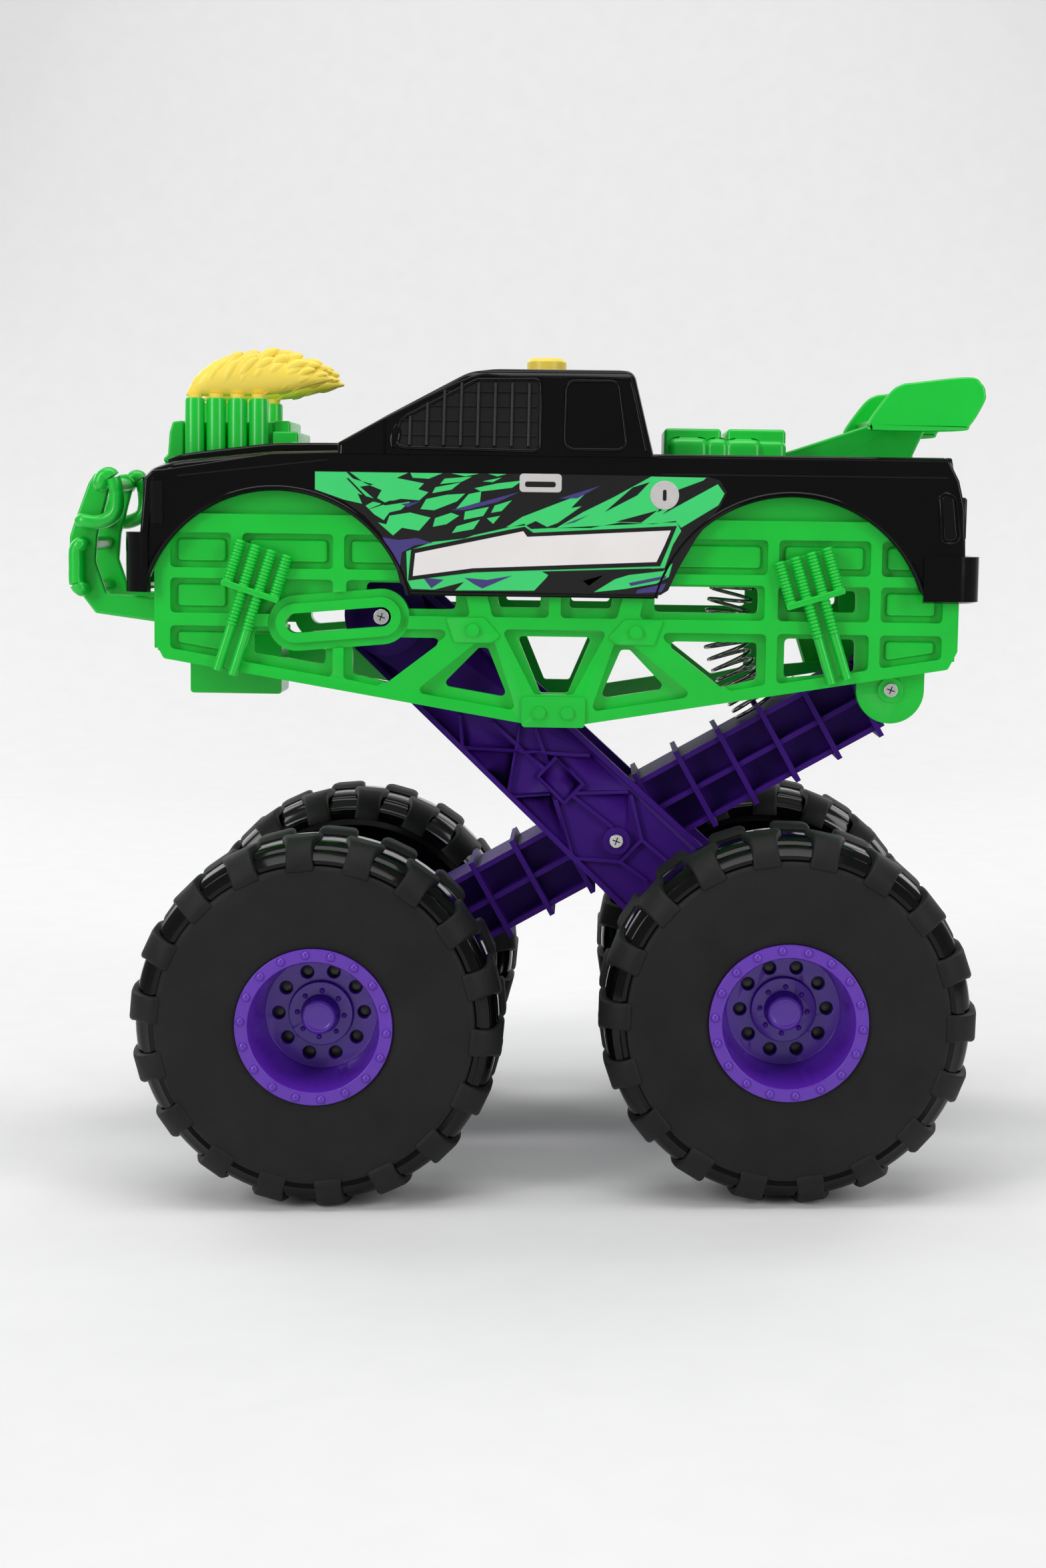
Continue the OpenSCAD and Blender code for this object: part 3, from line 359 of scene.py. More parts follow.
def aroundEnd(foot, end, half, radius, way, steps=8):
    # half of a bumper's path in plan: along the side, round the corner and to the middle; then mirrored
    a = np.linspace(0, math.pi / 2, steps)
    corner = np.stack([end - way * radius + way * radius * np.sin(a), half - radius + radius * np.cos(a)], -1)
    run = np.concatenate([[[foot, half]], corner, [[end + way * 0.25, half * 0.45], [end + way * 0.4, 0.0]]])
    full = np.concatenate([run, run[-2::-1] * [1, -1]])
    return full if way > 0 else full[::-1]


def petal(shape, start, direction, length, radius, flat=0.8, steps=8, around=10):
    # a drop: its radius swells and closes as a skewed sine along a line
    t = np.linspace(0.02, 0.98, steps)
    line = np.asarray(start, float) + np.asarray(direction, float) * (length * t[:, None])
    line[:, 2] += 0.12 * length * np.sin(math.pi * t)
    return sweep(shape, line, radius * np.sin(math.pi * t ** 0.8) ** 0.75, around, flat=flat)


def plastic(name, colour, roughness, variation=0.06, bump=0.02, grain=900.0, coat=0.0, dust=0.0):
    # moulded plastic: a slow drift of tone, a fine skin that changes roughness, and faint moulding waves
    material = bpy.data.materials.new(name)
    material.use_nodes = True
    tree = material.node_tree
    shader = tree.nodes["Principled BSDF"]
    shader.inputs["IOR"].default_value = 1.5
    shader.inputs["Coat Weight"].default_value = coat
    shader.inputs["Coat Roughness"].default_value = 0.08
    place = tree.nodes.new("ShaderNodeTexCoord")

    def noise(scale, detail):
        node = tree.nodes.new("ShaderNodeTexNoise")
        node.inputs["Scale"].default_value = scale
        node.inputs["Detail"].default_value = detail
        tree.links.new(place.outputs["Object"], node.inputs["Vector"])
        return node

    drift, skin, wave = noise(38.0, 3.0), noise(grain, 4.0), noise(110.0, 2.0)
    tone = tree.nodes.new("ShaderNodeValToRGB")
    tone.color_ramp.elements[0].position = 0.3
    tone.color_ramp.elements[1].position = 0.7
    tone.color_ramp.elements[0].color = [max(c * (1 - variation), 0) for c in colour] + [1]
    tone.color_ramp.elements[1].color = [min(c * (1 + variation) + dust, 1) for c in colour] + [1]
    tree.links.new(drift.outputs["Fac"], tone.inputs["Fac"])
    tree.links.new(tone.outputs["Color"], shader.inputs["Base Color"])
    rough = tree.nodes.new("ShaderNodeMapRange")
    rough.inputs["To Min"].default_value = max(roughness - 0.05, 0.02)
    rough.inputs["To Max"].default_value = roughness + 0.07
    tree.links.new(skin.outputs["Fac"], rough.inputs["Value"])
    tree.links.new(rough.outputs["Result"], shader.inputs["Roughness"])
    first = tree.nodes.new("ShaderNodeBump")
    first.inputs["Strength"].default_value = bump
    first.inputs["Distance"].default_value = 0.0004
    tree.links.new(skin.outputs["Fac"], first.inputs["Height"])
    second = tree.nodes.new("ShaderNodeBump")
    second.inputs["Strength"].default_value = bump * 2
    second.inputs["Distance"].default_value = 0.002
    tree.links.new(wave.outputs["Fac"], second.inputs["Height"])
    tree.links.new(first.outputs["Normal"], second.inputs["Normal"])
    tree.links.new(second.outputs["Normal"], shader.inputs["Normal"])
    return material


def metal(name, colour, roughness):
    # plated wire and screws: bright, with fine drawing lines that change the roughness
    material = plastic(name, colour, roughness, 0.04, 0.004, 1400.0)
    material.node_tree.nodes["Principled BSDF"].inputs["Metallic"].default_value = 1.0
    return material


def lamplight(material, amount):
    # how strongly the surface mirrors at a right angle
    material.node_tree.nodes["Principled BSDF"].inputs["Specular IOR Level"].default_value = amount
    return material


finish = dict(
    green=plastic("greenPlastic", (0.0, 0.56, 0.035), 0.3, 0.05, 0.015, 700.0, 0.25),
    # a darker, rougher copy of the frame green for the recessed arch liners: its darker tone is painted shade
    greenPaintedShade=plastic("greenPaintedShade", (0.0, 0.5, 0.03), 0.42, 0.06, 0.02),
    black=plastic("blackGloss", (0.002, 0.002, 0.0022), 0.1, 0.25, 0.006, 500.0, 0.1),
    blackSoft=plastic("blackSatin", (0.006, 0.006, 0.0065), 0.38, 0.25, 0.03, 900.0),
    tyre=plastic("tyreRubber", (0.0058, 0.0058, 0.0058), 0.6, 0.35, 0.1, 1300.0, 0.0, 0.001),
    purple=plastic("purpleRim", (0.1, 0.017, 0.39), 0.3, 0.06, 0.015, 700.0, 0.2),
    arm=plastic("purpleArm", (0.048, 0.0068, 0.205), 0.5, 0.08, 0.02, 800.0),
    yellow=plastic("yellowPlastic", (1.0, 0.75, 0.095), 0.4, 0.04, 0.02, 600.0, 0.1),
    glass=plastic("tintedPane", (0.0025, 0.0025, 0.003), 0.06, 0.2, 0.004, 300.0, 0.25),
    chrome=metal("chromedScrew", (0.75, 0.75, 0.74), 0.25),
    spring=metal("springWire", (0.34, 0.33, 0.32), 0.2),
    mint=plastic("stickerMint", (0.045, 0.64, 0.165), 0.34, 0.03, 0.01),
    # flat black for the sticker's print, also used for the discs of painted shade in the rim holes
    blackPrintAndShade=plastic("blackPrintAndShade", (0.004, 0.004, 0.004), 0.3, 0.1, 0.01),
    stickerPurple=plastic("stickerPurple", (0.055, 0.04, 0.2), 0.32, 0.05, 0.01),
    white=plastic("stickerWhite", (0.82, 0.79, 0.78), 0.4, 0.03, 0.01),
    silver=plastic("stickerSilver", (0.55, 0.53, 0.52), 0.38, 0.08, 0.01),
)
for key, amount in (("tyre", 0.28), ("blackSoft", 0.25), ("arm", 0.25), ("black", 0.17), ("glass", 0.2)):
    lamplight(finish[key], amount)
# the arms mirror less than the body's plastic
finish["arm"].node_tree.nodes["Principled BSDF"].inputs["IOR"].default_value = 1.38
print("finishes made", len(finish))

slotNames = dict(green="green_plastic", greenPaintedShade="green_plastic", yellow="yellow_plastic",
                 glass="tinted_window")  # every other finish of the body is black_gloss


def bodyPiece(shape, name, finishName, replaces=(), smoothAngle=40, slotName=None):
    # a piece of the raised body, in the named finish
    slotName = slotName or slotNames.get(finishName, "black_gloss")
    return shape.piece(name, finish[finishName], "chassis", slotName, replaces, raised, smoothAngle)


wheel = dict(width=62.0, lugs=18, lugWidth=12.4, lugFlare=16.5, lugWaist=11.2,
             ringBolts=18, ringBoltCircle=31.0, hubBolts=8,
             hubBoltCircle=10.2, ribs=10)


def lug(shape, centre, outward, angle, profile, thickness=1.7):
    # a strap over the shoulder: a profile of [radius, distance out], widened by a smooth curve along it;
    # each cross-section is a low arch of eight points
    profile = smoothPath(np.asarray(profile, float), 5)
    s = np.linspace(0, 1, len(profile))
    tangent = np.gradient(profile, axis=0)
    tangent /= np.linalg.norm(tangent, axis=1, keepdims=True)
    normal = np.stack([-tangent[:, 1], tangent[:, 0]], -1)
    normal *= np.sign(normal[len(s) // 2, 0])
    width = wheel["lugWidth"] + (wheel["lugWaist"] - wheel["lugWidth"]) * np.sin(math.pi * np.minimum(s * 1.4,
                                                                                                      1)) \
        + (wheel["lugFlare"] - wheel["lugWidth"]) * np.clip((s - 0.55) / 0.3, 0, 1) ** 2
    across = np.array([-0.5, -0.5, -0.46, -0.38, 0.38, 0.46, 0.5, 0.5])
    lift = np.array([-0.9, 0.55, 0.9, 1.0, 1.0, 0.9, 0.55, -0.9])
    ends = np.clip(np.minimum(s, 1 - s) / 0.06, 0, 1) ** 0.5
    up = thickness * lift[None, :] * np.where(lift[None, :] > 0, ends[:, None], 1)
    r = profile[:, 0][:, None] + normal[:, 0][:, None] * up
    y = profile[:, 1][:, None] + normal[:, 1][:, None] * up
    turn = angle + across[None, :] * width[:, None] / r
    rings = np.stack([centre[0] + r * np.cos(turn), outward * (wheelInside + y),
                      centre[2] + r * np.sin(turn)], -1)
    return shape.loft(rings)


def wheelParts(end, side):
    centre = (frontAxle if end == "front" else rearAxle)
    outward = 1 if side == "left" else -1
    body = f"wheel_{end}_{side}"
    tag = end.capitalize() + side.capitalize()
    w = wheel["width"]
    first = 0.11 if end == "front" else 0.045

    # matte outer wall with its lug straps
    tyre = Shape()
    revolve(tyre, [[33.4, w - 5], [33.4, w - 1.6], [34.2, w - 1.2], [48, w - 0.9], [60, w - 1.1],
                   [65.5, w - 1.7], [67.3, w - 2.0], [68.1, w - 2.7], [68.3, w - 4.2], [67.6, w - 8],
                   [60, w - 8], [50, w - 6]], centre, 128, outward)
    shoulder = [[66.6, w - 3.6], [68.4, w - 2.5], [71.8, w - 3.6], [75.4, w - 6.6], [77.8, w - 10.6],
                [78.3, w - 16], [78.3, w - 28]]
    inner = [[r, w - y] for r, y in shoulder]
    for i in range(wheel["lugs"]):
        a = first + i * 2 * math.pi / wheel["lugs"]
        lug(tyre, centre, outward, a, shoulder)
        lug(tyre, centre, outward, a + math.pi / wheel["lugs"], inner)
    tyre.piece("tyre" + tag, finish["tyre"], body, "tyre_matte", [f"tyre_{end}_{side}"], smoothAngle=50)

    # glossy tread ring, stepped at both shoulders, open towards the axle side
    tread = Shape()
    revolve(tread, [[60, w - 9], [67.5, w - 9], [68.5, w - 4.4], [70.6, w - 4.0], [71.8, w - 5.2],
                    [74.2, w - 7.0],
                    [74.6, w - 9.0], [76.6, w - 10.8], [77.5, w - 13.3], [77.8, w - 20], [77.8, w - 29.5],
                    [76.4, w - 30.5], [76.4, w - 31.5], [77.8, w - 32.5], [77.8, 20], [77.2, 15.5],
                    [75.4, 12.4],
                    [73.6, 10.4], [73.2, 8.2], [71.4, 6.2], [70.4, 3.6], [68.8, 2.6], [66.4, 2.8],
                    [65.6, 4.6],
                    [62.6, 6.2], [61.8, 9], [60.5, 24], [9, 25], [8, 22], [8, 1.2], [7.2, 0.5], [2.9, 0.5],
                    [2.9, 23], [8, 24.5], [30, 26.5], [33.3, 34], [33.3, w - 9]], centre, 128, outward)
    for i in range(wheel["ribs"]):
        a = (i + 0.3) * 2 * math.pi / wheel["ribs"]
        c, s = math.cos(a), math.sin(a)
        along = np.array([[7.5, 8.0], [61.6, 12.0], [61.6, 25.0], [7.5, 25.0]])
        rings = np.stack([np.stack([centre[0] + along[:, 0] * c - t * s,
                                    outward * (wheelInside + along[:, 1]),
                                    centre[2] + along[:, 0] * s + t * c], -1) for t in (-0.8, 0.8)])
        tread.loft(rings)
    tread.piece("tread" + tag, finish["black"], body, "black_gloss", [f"core_{end}_{side}"], smoothAngle=32)

    # the dished rim keeps its CAD shape; its bolts and cap are added
    softened(f"rim_{end}_{side}", "rim" + tag, finish["purple"], 0.45, body, 2, 30)
    bolts = Shape()
    for count, circle, stands, radius, height in (
            (wheel["ringBolts"], wheel["ringBoltCircle"], w - 0.05, 2.0, 1.4),
            (wheel["hubBolts"], wheel["hubBoltCircle"], w - 30.1, 1.2, 1.3)):
        for i in range(count):
            a = 0.09 + i * 2 * math.pi / count
            at = [centre[0] + circle * math.cos(a), outward * (wheelInside + stands),
                  centre[2] + circle * math.sin(a)]
            dome(bolts, at, radius, height, (0, outward, 0), 12, 3)
    # black discs on the floors of the ten round holes: painted shade standing in for the dark inside the holes
    holeShade = Shape()
    for i in range(10):
        a = i * math.pi / 5
        dome(holeShade, [centre[0] + 18.7 * math.cos(a), outward * (wheelInside + w - 35.9),
                     centre[2] + 18.7 * math.sin(a)], 2.85, 0.4, (0, outward, 0), 16, 2)
    holeShade.piece("rimHoleShade" + tag, finish["blackPrintAndShade"], body, "black_gloss")
    revolve(bolts, [[0.4, w - 23], [6.6, w - 23], [7.3, w - 22.4], [7.4, w - 21.9], [6.6, w - 21.2],
                    [5.4, w - 21.1],
                    [5.0, w - 21.6], [0.4, w - 21.5]], centre, 48, outward)
    bolts.piece("rimBolts" + tag, finish["purple"], body, "purple_rim", smoothAngle=60)


for end in ("front", "rear"):
    for side in ("left", "right"):
        wheelParts(end, side)
print("wheels made")


truss = dict(outerPost=140.5, innerPost=95.5, post=2.4, half=177.0, gusset=35.9, rail=2.3, step=20.0,
             pocketFloor=49.0, panel=1.5, panelInset=2.7,
             keelLow=-44.4, keelFlat=14, keelRise=46 - 18 - 1.6, keelEnd=173)


def trussPanels():
    # the raised panel inside each pocket, as outlines about the keel's middle and the middle rail
    t = truss
    out = []
    for s in (-1, 1):
        for row in (0, 1):
            low, high = t["rail"] + row * t["step"], t["step"] - t["rail"] + row * t["step"]
            spans = [(t["outerPost"] + t["post"], t["half"] - 7),
                     (t["innerPost"] + t["post"], t["outerPost"] - t["post"])]
            spans.append((t["gusset"] + 4, t["innerPost"] - t["post"]) if row else None)
            if s > 0 and row == 0:
                spans.pop(1)
            if s < 0 and row == 0:
                spans.pop(1)
            for span in [q for q in spans if q]:
                a, b = sorted((s * span[0], s * span[1]))
                out.append([[a, low], [b, low], [b, high], [a, high]])
        keel = lambda x: (t["keelLow"] + (abs(x) - t["keelFlat"]) * t["keelRise"]
                          / (t["keelEnd"] - t["keelFlat"]))
        a, b = sorted((s * (t["outerPost"] + t["post"]), s * (t["half"] - 7)))
        out.append([[a, keel(a) + 5], [b, keel(b) + 5], [b, -3.3], [a, -3.3]])
    return [np.array(o) for o in out]


panels = Shape()
for corners in trussPanels():
    panelOutline = roundCorners(drawnIn(corners, truss["panelInset"]), 1.8)
    at = panelOutline + [station["keel"], level["rail"]]
    slab(panels, at, truss["pocketFloor"] - 1, truss["pocketFloor"] + truss["panel"], 0.8)
panels.both()
bodyPiece(panels, "pocketPanels", "green")

for node, name in (("side_frame_left", "trussLeft"), ("side_frame_right", "trussRight")):
    softened(node, name, finish["green"], 0.95, "chassis", 3, 30)
for node, name in (("chassis_deck", "deck"), ("skid_box", "bellyBox"), ("rear_bracket", "rearBracket")):
    softened(node, name, finish["green"], 0.5, "chassis", 2, 30)

# smooth panels that close the wheel arches above the top rail, in a darker green that is painted shade for the
# recess
linerShape = dict(radius=60.6, half=44.0, low=47.5, high=50.5)
liner = Shape()
for x in (station["archFront"], station["archRear"]):
    a = np.radians(np.linspace(50, 130, 17))
    crown = np.stack([x + linerShape["radius"] * np.cos(a),
                      level["rail"] - archDrop + linerShape["radius"] * np.sin(a)], -1)
    foot = np.array([[x - linerShape["half"], level["deck"] + 1],
                     [x + linerShape["half"], level["deck"] + 1]])
    slab(liner, np.concatenate([crown, foot]), linerShape["low"], linerShape["high"], 0.4)
liner.both()
bodyPiece(liner, "archLiners", "greenPaintedShade")


shock = dict(lean=17.5, step=7.2, radius=2.55, seat=56.9, collarIn=54.0, collarOut=59.6,
             backIn=53.0, backOut=54.8)


def ribbedRod(shape, x, low, high, rings, radius):
    # a rod along Z whose radius swells at each ring as the absolute sine
    z = np.linspace(low, high, rings * 6 + 1)
    swell = radius - 0.55 + 0.55 * np.abs(np.sin(math.pi * (z - low) / (high - low) * rings)) ** 0.7
    swell[0] = swell[-1] = radius * 0.8
    path = np.stack([np.full_like(z, x), np.full_like(z, shock["seat"]), z], -1)
    return sweep(shape, path, swell, 14, up=(0.0, 1.0, 0.0))


for end, way in (("front", 1), ("rear", -1)):
    at = np.array([station["archFront"] + 11 if way > 0 else station["archRear"] - 11, 0,
                   level["rail"] + 12.5])
    pack = Shape()
    for i in (-1.5, -0.5, 0.5, 1.5):
        ribbedRod(pack, shock["step"] * i, 0.8, 20, 13, shock["radius"])
    for i in (-0.5, 0.5):
        ribbedRod(pack, shock["step"] * i, -17, -0.6, 10, shock["radius"] * 0.96)
        sweep(pack, [[shock["step"] * i, 56.4, z] for z in (-17.4, -16.6, -38)], [1.6, 2.1, 2.1], 14)
    slab(pack, roundCorners(np.array([[-13.2, -1.6], [13.2, -1.6], [13.2, 1.2], [-13.2, 1.2]]), 0.6),
         shock["collarIn"], shock["collarOut"], 0.5)
    slab(pack, np.array([[-12.5, 0.5], [12.5, 0.5], [12.5, 19.5], [-12.5, 19.5]]), shock["backIn"],
         shock["backOut"], 0.3)
    slab(pack, np.array([[-5, -36], [5, -36], [5, 0.5], [-5, 0.5]]), shock["backIn"], shock["backOut"], 0.3)
    leaning = turned(np.concatenate(pack.points), np.zeros(3), way * math.radians(shock["lean"])) + at
    for side in ("left", "right"):
        Shape().add(leaning, pack.faces).forSide(side).piece(
            f"shockPack{end.capitalize()}{side.capitalize()}", finish["green"], "chassis", "green_plastic",
            [f"shocks_{end}_{side}"], place=raised, smoothAngle=45)
print("chassis made")


bar = dict(tube=3.3, low=26.0, high=30.0, loopOut=35.0)
reach = station["front"] + 43
plateOutline = np.array([[station["front"], -3.5], [reach - 12, 0.5], [reach - 1.5, 14], [reach - 0.2, 18],
                         [reach - 0.4, 35], [reach - 2, 40], [reach - 9, 59], [reach - 12, 63.5],
                         [reach - 16, 64],
                         [reach - 19.5, 61], [reach - 13, 36], [reach - 12, 24], [reach - 17, 9.5],
                         [station["front"], 8]])
plates = Shape()
slab(plates, roundCorners(plateOutline + [0, level["rail"]], 2.2), bar["low"], bar["high"], 1.1)
plates.both()
bodyPiece(plates, "bullBarPlates", "green", ["bull_bar_plates"])

tubes = Shape()
loops = (  # the loop outside the plate, from its upper cross tube to its lower one
    [[-15.5, 58.5], [-17, 62], [-21, 62], [-23, 52], [-21.5, 45], [-15, 41.5], [-7.5, 42]],
    [[-6.5, 31.5], [-4.6, 29], [-4.4, 21], [-4.6, 14], [-6.8, 11.5]])
for loop in loops:
    bend = np.array([[reach + x, level["rail"] + z] for x, z in loop])
    outs = np.full(len(bend), bar["loopOut"])
    half = np.stack([bend[:, 0], outs, bend[:, 1]], -1)
    lead = [[bend[0, 0], y, bend[0, 1]] for y in (26.0, 31.0)]
    tail = [[bend[-1, 0], y, bend[-1, 1]] for y in (31.0, 26.0)]
    left = np.concatenate([lead, half, tail])
    ring = np.concatenate([left, mirrored(left)[::-1]])
    sweep(tubes, smoothPath(ring, 7, True), bar["tube"], 16, True, up=(0.31, 0.12, 0.95))
bodyPiece(tubes, "bullBarTubes", "green", ["bull_bar_tubes"])
print("bull bar made")


def archPoints(x, first, last, radius=archRadius, steps=40):
    a = np.radians(np.linspace(first, last, steps))
    return np.stack([x + radius * np.cos(a), level["rail"] - archDrop + radius * np.sin(a)], -1)


frontArch, rearArch = station["archFront"], station["archRear"]
bodyPanel = dict(inner=54.05, outer=58.6, rim=1.3, lip=1.05, lipOut=57.9, bead=0.7, beadOut=58.1)
sideOutline = np.concatenate([
    [[station["nose"] - 1.5, level["nose"] - 8], [station["nose"] + 0.6, level["sill"] + 26],
     [station["nose"] + 1.2, level["sill"] + 13], [station["nose"], level["sill"] + 0.6],
     [station["nose"] - 3.6, level["sill"] + 0.2]],
    archPoints(frontArch, 18, 166), [[station["nose"] - 119.5, level["sill"] + 0.2],
                                     [station["nose"] - 123, level["sill"] + 0.1],
                                     [rearArch + 59.5, level["sill"] + 0.1],
                                     [rearArch + 57.4, level["sill"] + 2.5]],
    archPoints(rearArch, 17, 161),
    [[rearArch - 58.2, level["sill"] + 2.6], [rearArch - 61, level["sill"] + 0.1],
     [station["tail"] + 3, level["sill"]],
     [station["tail"] + 0.4, level["sill"] + 20],
     [station["tail"] + 1.2, level["belt"] - 22], [station["tail"] + 4, level["belt"] - 10],
     [station["tail"] + 8, level["belt"] - 2.4], [station["tail"] + 9.4, level["belt"] - 0.5],
     [station["cab"] - 2, level["belt"] - 0.4], [station["cab"] + 29, level["belt"] - 1.5],
     [station["nose"] - 14, level["nose"] - 3.6], [station["nose"] - 5, level["nose"] - 5]]])
for side in ("left", "right"):
    panel = Shape()
    slab(panel, sideOutline, bodyPanel["inner"], bodyPanel["outer"], bodyPanel["rim"], 4, 0.2)
    # raised lips along both arches, a rocker below and a bed rail above
    for x, first, last in ((frontArch, 22, 166), (rearArch, 14, 163)):
        lip = archPoints(x, first, last, archRadius + 1.6, 48)
        path = np.stack([lip[:, 0], np.full(len(lip), bodyPanel["lipOut"]), lip[:, 1]], -1)
        sweep(panel, path, bodyPanel["lip"], 10)
    for line in ([[station["tail"] + 9, level["belt"] - 8.5], [station["cabBack"] - 4, level["belt"] - 8.5]],
                 [[station["tail"] + 8, level["belt"] - 1.4], [station["cabBack"] - 2, level["belt"] - 1.2]],
                 [[station["cab"] + 4, level["belt"] - 4], [station["nose"] - 16, level["nose"] - 7]]):
        path = np.array([[line[0][0] + (line[1][0] - line[0][0]) * k, bodyPanel["beadOut"],
                          line[0][1] + (line[1][1] - line[0][1]) * k] for k in np.linspace(0, 1, 12)])
        sweep(panel, path, bodyPanel["bead"], 8)
    bodyPiece(panel.forSide(side), "bodySide" + side.capitalize(), "black", [f"body_side_{side}"],
              smoothAngle=35)


def sectionLoop(halfSpan, top, drop, thickness, crown=1.6, shoulder=5.0, steps=9):
    # half an arch section from its foot over a round shoulder to the crowned middle, mirrored, then back
    # along the inside
    a = np.linspace(0, math.pi / 2, steps)
    shoulderArc = np.stack([halfSpan - shoulder + shoulder * np.cos(a),
                            top - shoulder - crown + shoulder * np.sin(a)], -1)
    t = np.linspace(0, 1, 6)[1:]
    over = np.stack([(halfSpan - shoulder) * (1 - t), top - crown * (1 - t) ** 2], -1)
    foot = np.array([[halfSpan, top - drop]])
    outer = np.concatenate([foot, shoulderArc, over])
    full = np.concatenate([outer, outer[-2::-1] * [-1, 1]])
    inner = drawnInside(full, thickness)
    return np.concatenate([full, inner[::-1]])


def drawnInside(line, thickness):
    # an open line moved square to itself by the thickness
    ahead = np.gradient(line, axis=0)
    ahead /= np.linalg.norm(ahead, axis=1, keepdims=True)
    return line + np.stack([-ahead[:, 1], ahead[:, 0]], -1) * thickness


def across(sections, xs):
    # sections in Y and Z placed at their stations along X
    return np.stack([np.stack([np.full(len(s), x), s[:, 0], s[:, 1]], -1) for s, x in zip(sections, xs)])


hoodShape = dict(scoopRise=2.6)
hood = Shape()
hoodXs = np.concatenate([np.linspace(station["cab"] - 1, station["nose"] - 14, 14),
                         station["nose"] - 14 + 13.2 * np.sin(np.linspace(0.25, math.pi / 2, 7))])
hoodTops = np.interp(hoodXs, [station["cab"], station["cab"] + 30, station["nose"] - 15, station["nose"] - 4,
                              station["nose"]], [level["cowl"], level["cowl"] - 0.8, level["nose"] + 2.6,
                                                 level["nose"] - 0.8, level["nose"] - 4.5])
spans = np.interp(hoodXs, [station["cab"], station["nose"] - 14, station["nose"] - 5, station["nose"]],
                  [58.6, 58.2, 56.8, 53.5])
hood.loft(across([sectionLoop(w, z, 7.5, 2.0, 3.4, 3.4) for w, z in zip(spans, hoodTops)], hoodXs))
# raised middle of the hood, with soft shoulders
scoopXs = np.linspace(station["cab"] + 1, station["nose"] - 9, 16)
scoopTops = np.interp(scoopXs, hoodXs, hoodTops) + 0.4 + hoodShape["scoopRise"] * np.sin(
    np.linspace(0.5, math.pi, 16)) ** 0.6 * 0.35
hood.loft(across([sectionLoop(np.interp(x, [station["cab"], station["nose"]], [45, 40]), z, 4.0, 1.2, 0.6,
                              2.0)
                  for x, z in zip(scoopXs, scoopTops)], scoopXs))
bodyPiece(hood, "hood", "black", ["hood"], smoothAngle=50)


cabShape = dict(halfFoot=59.0, halfTop=47.2, backLean=9, edge=3.6, crown=0.9)


def cabLines(z):
    # where the cab's front, back and sides stand at a level: the screen follows four straight runs, the
    # back and the sides lean evenly
    front = np.interp(z, [level["belt"], level["cowl"], level["belt"] + 16, level["roof"] - 2.3,
                          level["roof"]],
                      [station["cab"], station["cab"], station["cab"] - 22, station["cab"] - 57,
                       station["cab"] - 70])
    t = (z - level["belt"]) / (level["roof"] - level["belt"])
    half = cabShape["halfFoot"] + (cabShape["halfTop"] - cabShape["halfFoot"]) * t
    return front, station["cabBack"] + cabShape["backLean"] * t, half


cab = Shape()
cabRings = []
for z in np.concatenate([np.linspace(level["belt"] - 1.5, level["cowl"], 4),
                         np.linspace(level["cowl"], level["belt"] + 16, 7)[1:],
                         np.linspace(level["belt"] + 16, level["roof"] - 5, 8)[1:]]):
    front, back, half = cabLines(z)
    cabRings.append(roundedRing(back, front, half, 2.6, z))
for a in np.linspace(0.15, math.pi / 2, 8):  # the roof's edge rolls over, then the crown closes in
    z = level["roof"] - 5 + 4.1 * math.sin(a)
    front, back, half = cabLines(z)
    draw = cabShape["edge"] * (1 - math.cos(a))
    cabRings.append(roundedRing(back + draw, front - draw * 0.8, half - draw, 2.6 + draw * 0.5, z))
front, back, half = front - draw * 0.8, back + draw, half - draw
for k in (0.75, 0.5, 0.25, 0.04):
    mid = (front + back) / 2
    cabRings.append(roundedRing(mid + (back - mid) * k, mid + (front - mid) * k, half * k,
                                4.0 * k, z + cabShape["crown"] * (1 - k ** 2)))
cab.loft(np.stack(cabRings))


def onSide(points, proud):
    # points of [x, z] laid on the cab's leaning side, with their distance out of it
    points = np.asarray(points, float)
    half = cabLines(points[:, 1])[2]
    return np.stack([points[:, 0], half + proud, points[:, 1]], -1)


def laidFrame(shape, corners, radius, bead, proud=0.1):
    # a bead around a window on the cab's side
    sweep(shape, onSide(roundCorners(corners, radius, 5), proud), bead, 8, True, up=(0.0, 1.0, 0.25))


windowFront, windowRear = station["cab"] - 26.5, station["cab"] - 88.5
sideWindow = [[windowFront, level["belt"] + 1.5], [windowRear, level["belt"] + 0.5],
              [windowRear, level["roof"] - 5.5], [windowRear + 28, level["roof"] - 6.0],
              [windowFront - 4, level["belt"] + 15.5], [windowFront, level["belt"] + 12]]
quarterWindow = [[windowRear - 11, level["belt"] + 1.5], [windowRear - 38, level["belt"] + 1.5],
                 [windowRear - 34, level["roof"] - 6], [windowRear - 11, level["roof"] - 6]]
laidFrame(cab, sideWindow, 3.0, 0.8)
laidFrame(cab, quarterWindow, 4.0, 0.7)
seam = [[station["cab"] - 20.6, level["belt"] + 13.5], [station["cab"] - 20.8, level["belt"] - 1]]
sweep(cab, onSide(seam, 0.1), 0.5, 6)
gutter = [[station["cab"] - 4, level["belt"] + 4.2], [station["cab"] - 24, level["belt"] + 15.5],
          [station["cab"] - 58, level["roof"] - 5.2], [station["cab"] - 75, level["roof"] - 4.4],
          [station["cabBack"] + 14, level["roof"] - 4.6], [station["cabBack"] + 10, level["roof"] - 7],
          [station["cabBack"] + 3.2, level["belt"] + 1]]
sweep(cab, onSide(smoothPath(gutter, 5), -0.2), 0.75, 8)
mirrorLine = np.array([[station["cab"] - 24.5, level["belt"] + 1.5],
                       [station["cab"] - 26, level["belt"] + 11.5]])
sweep(cab, onSide(np.linspace(mirrorLine[0], mirrorLine[1], 9), 0.4),
      2.6 * np.sin(np.linspace(0.35, math.pi - 0.35, 9)), 12,
      flat=0.35)
cab.both()
bodyPiece(cab, "cab", "black", ["cab"], smoothAngle=50)

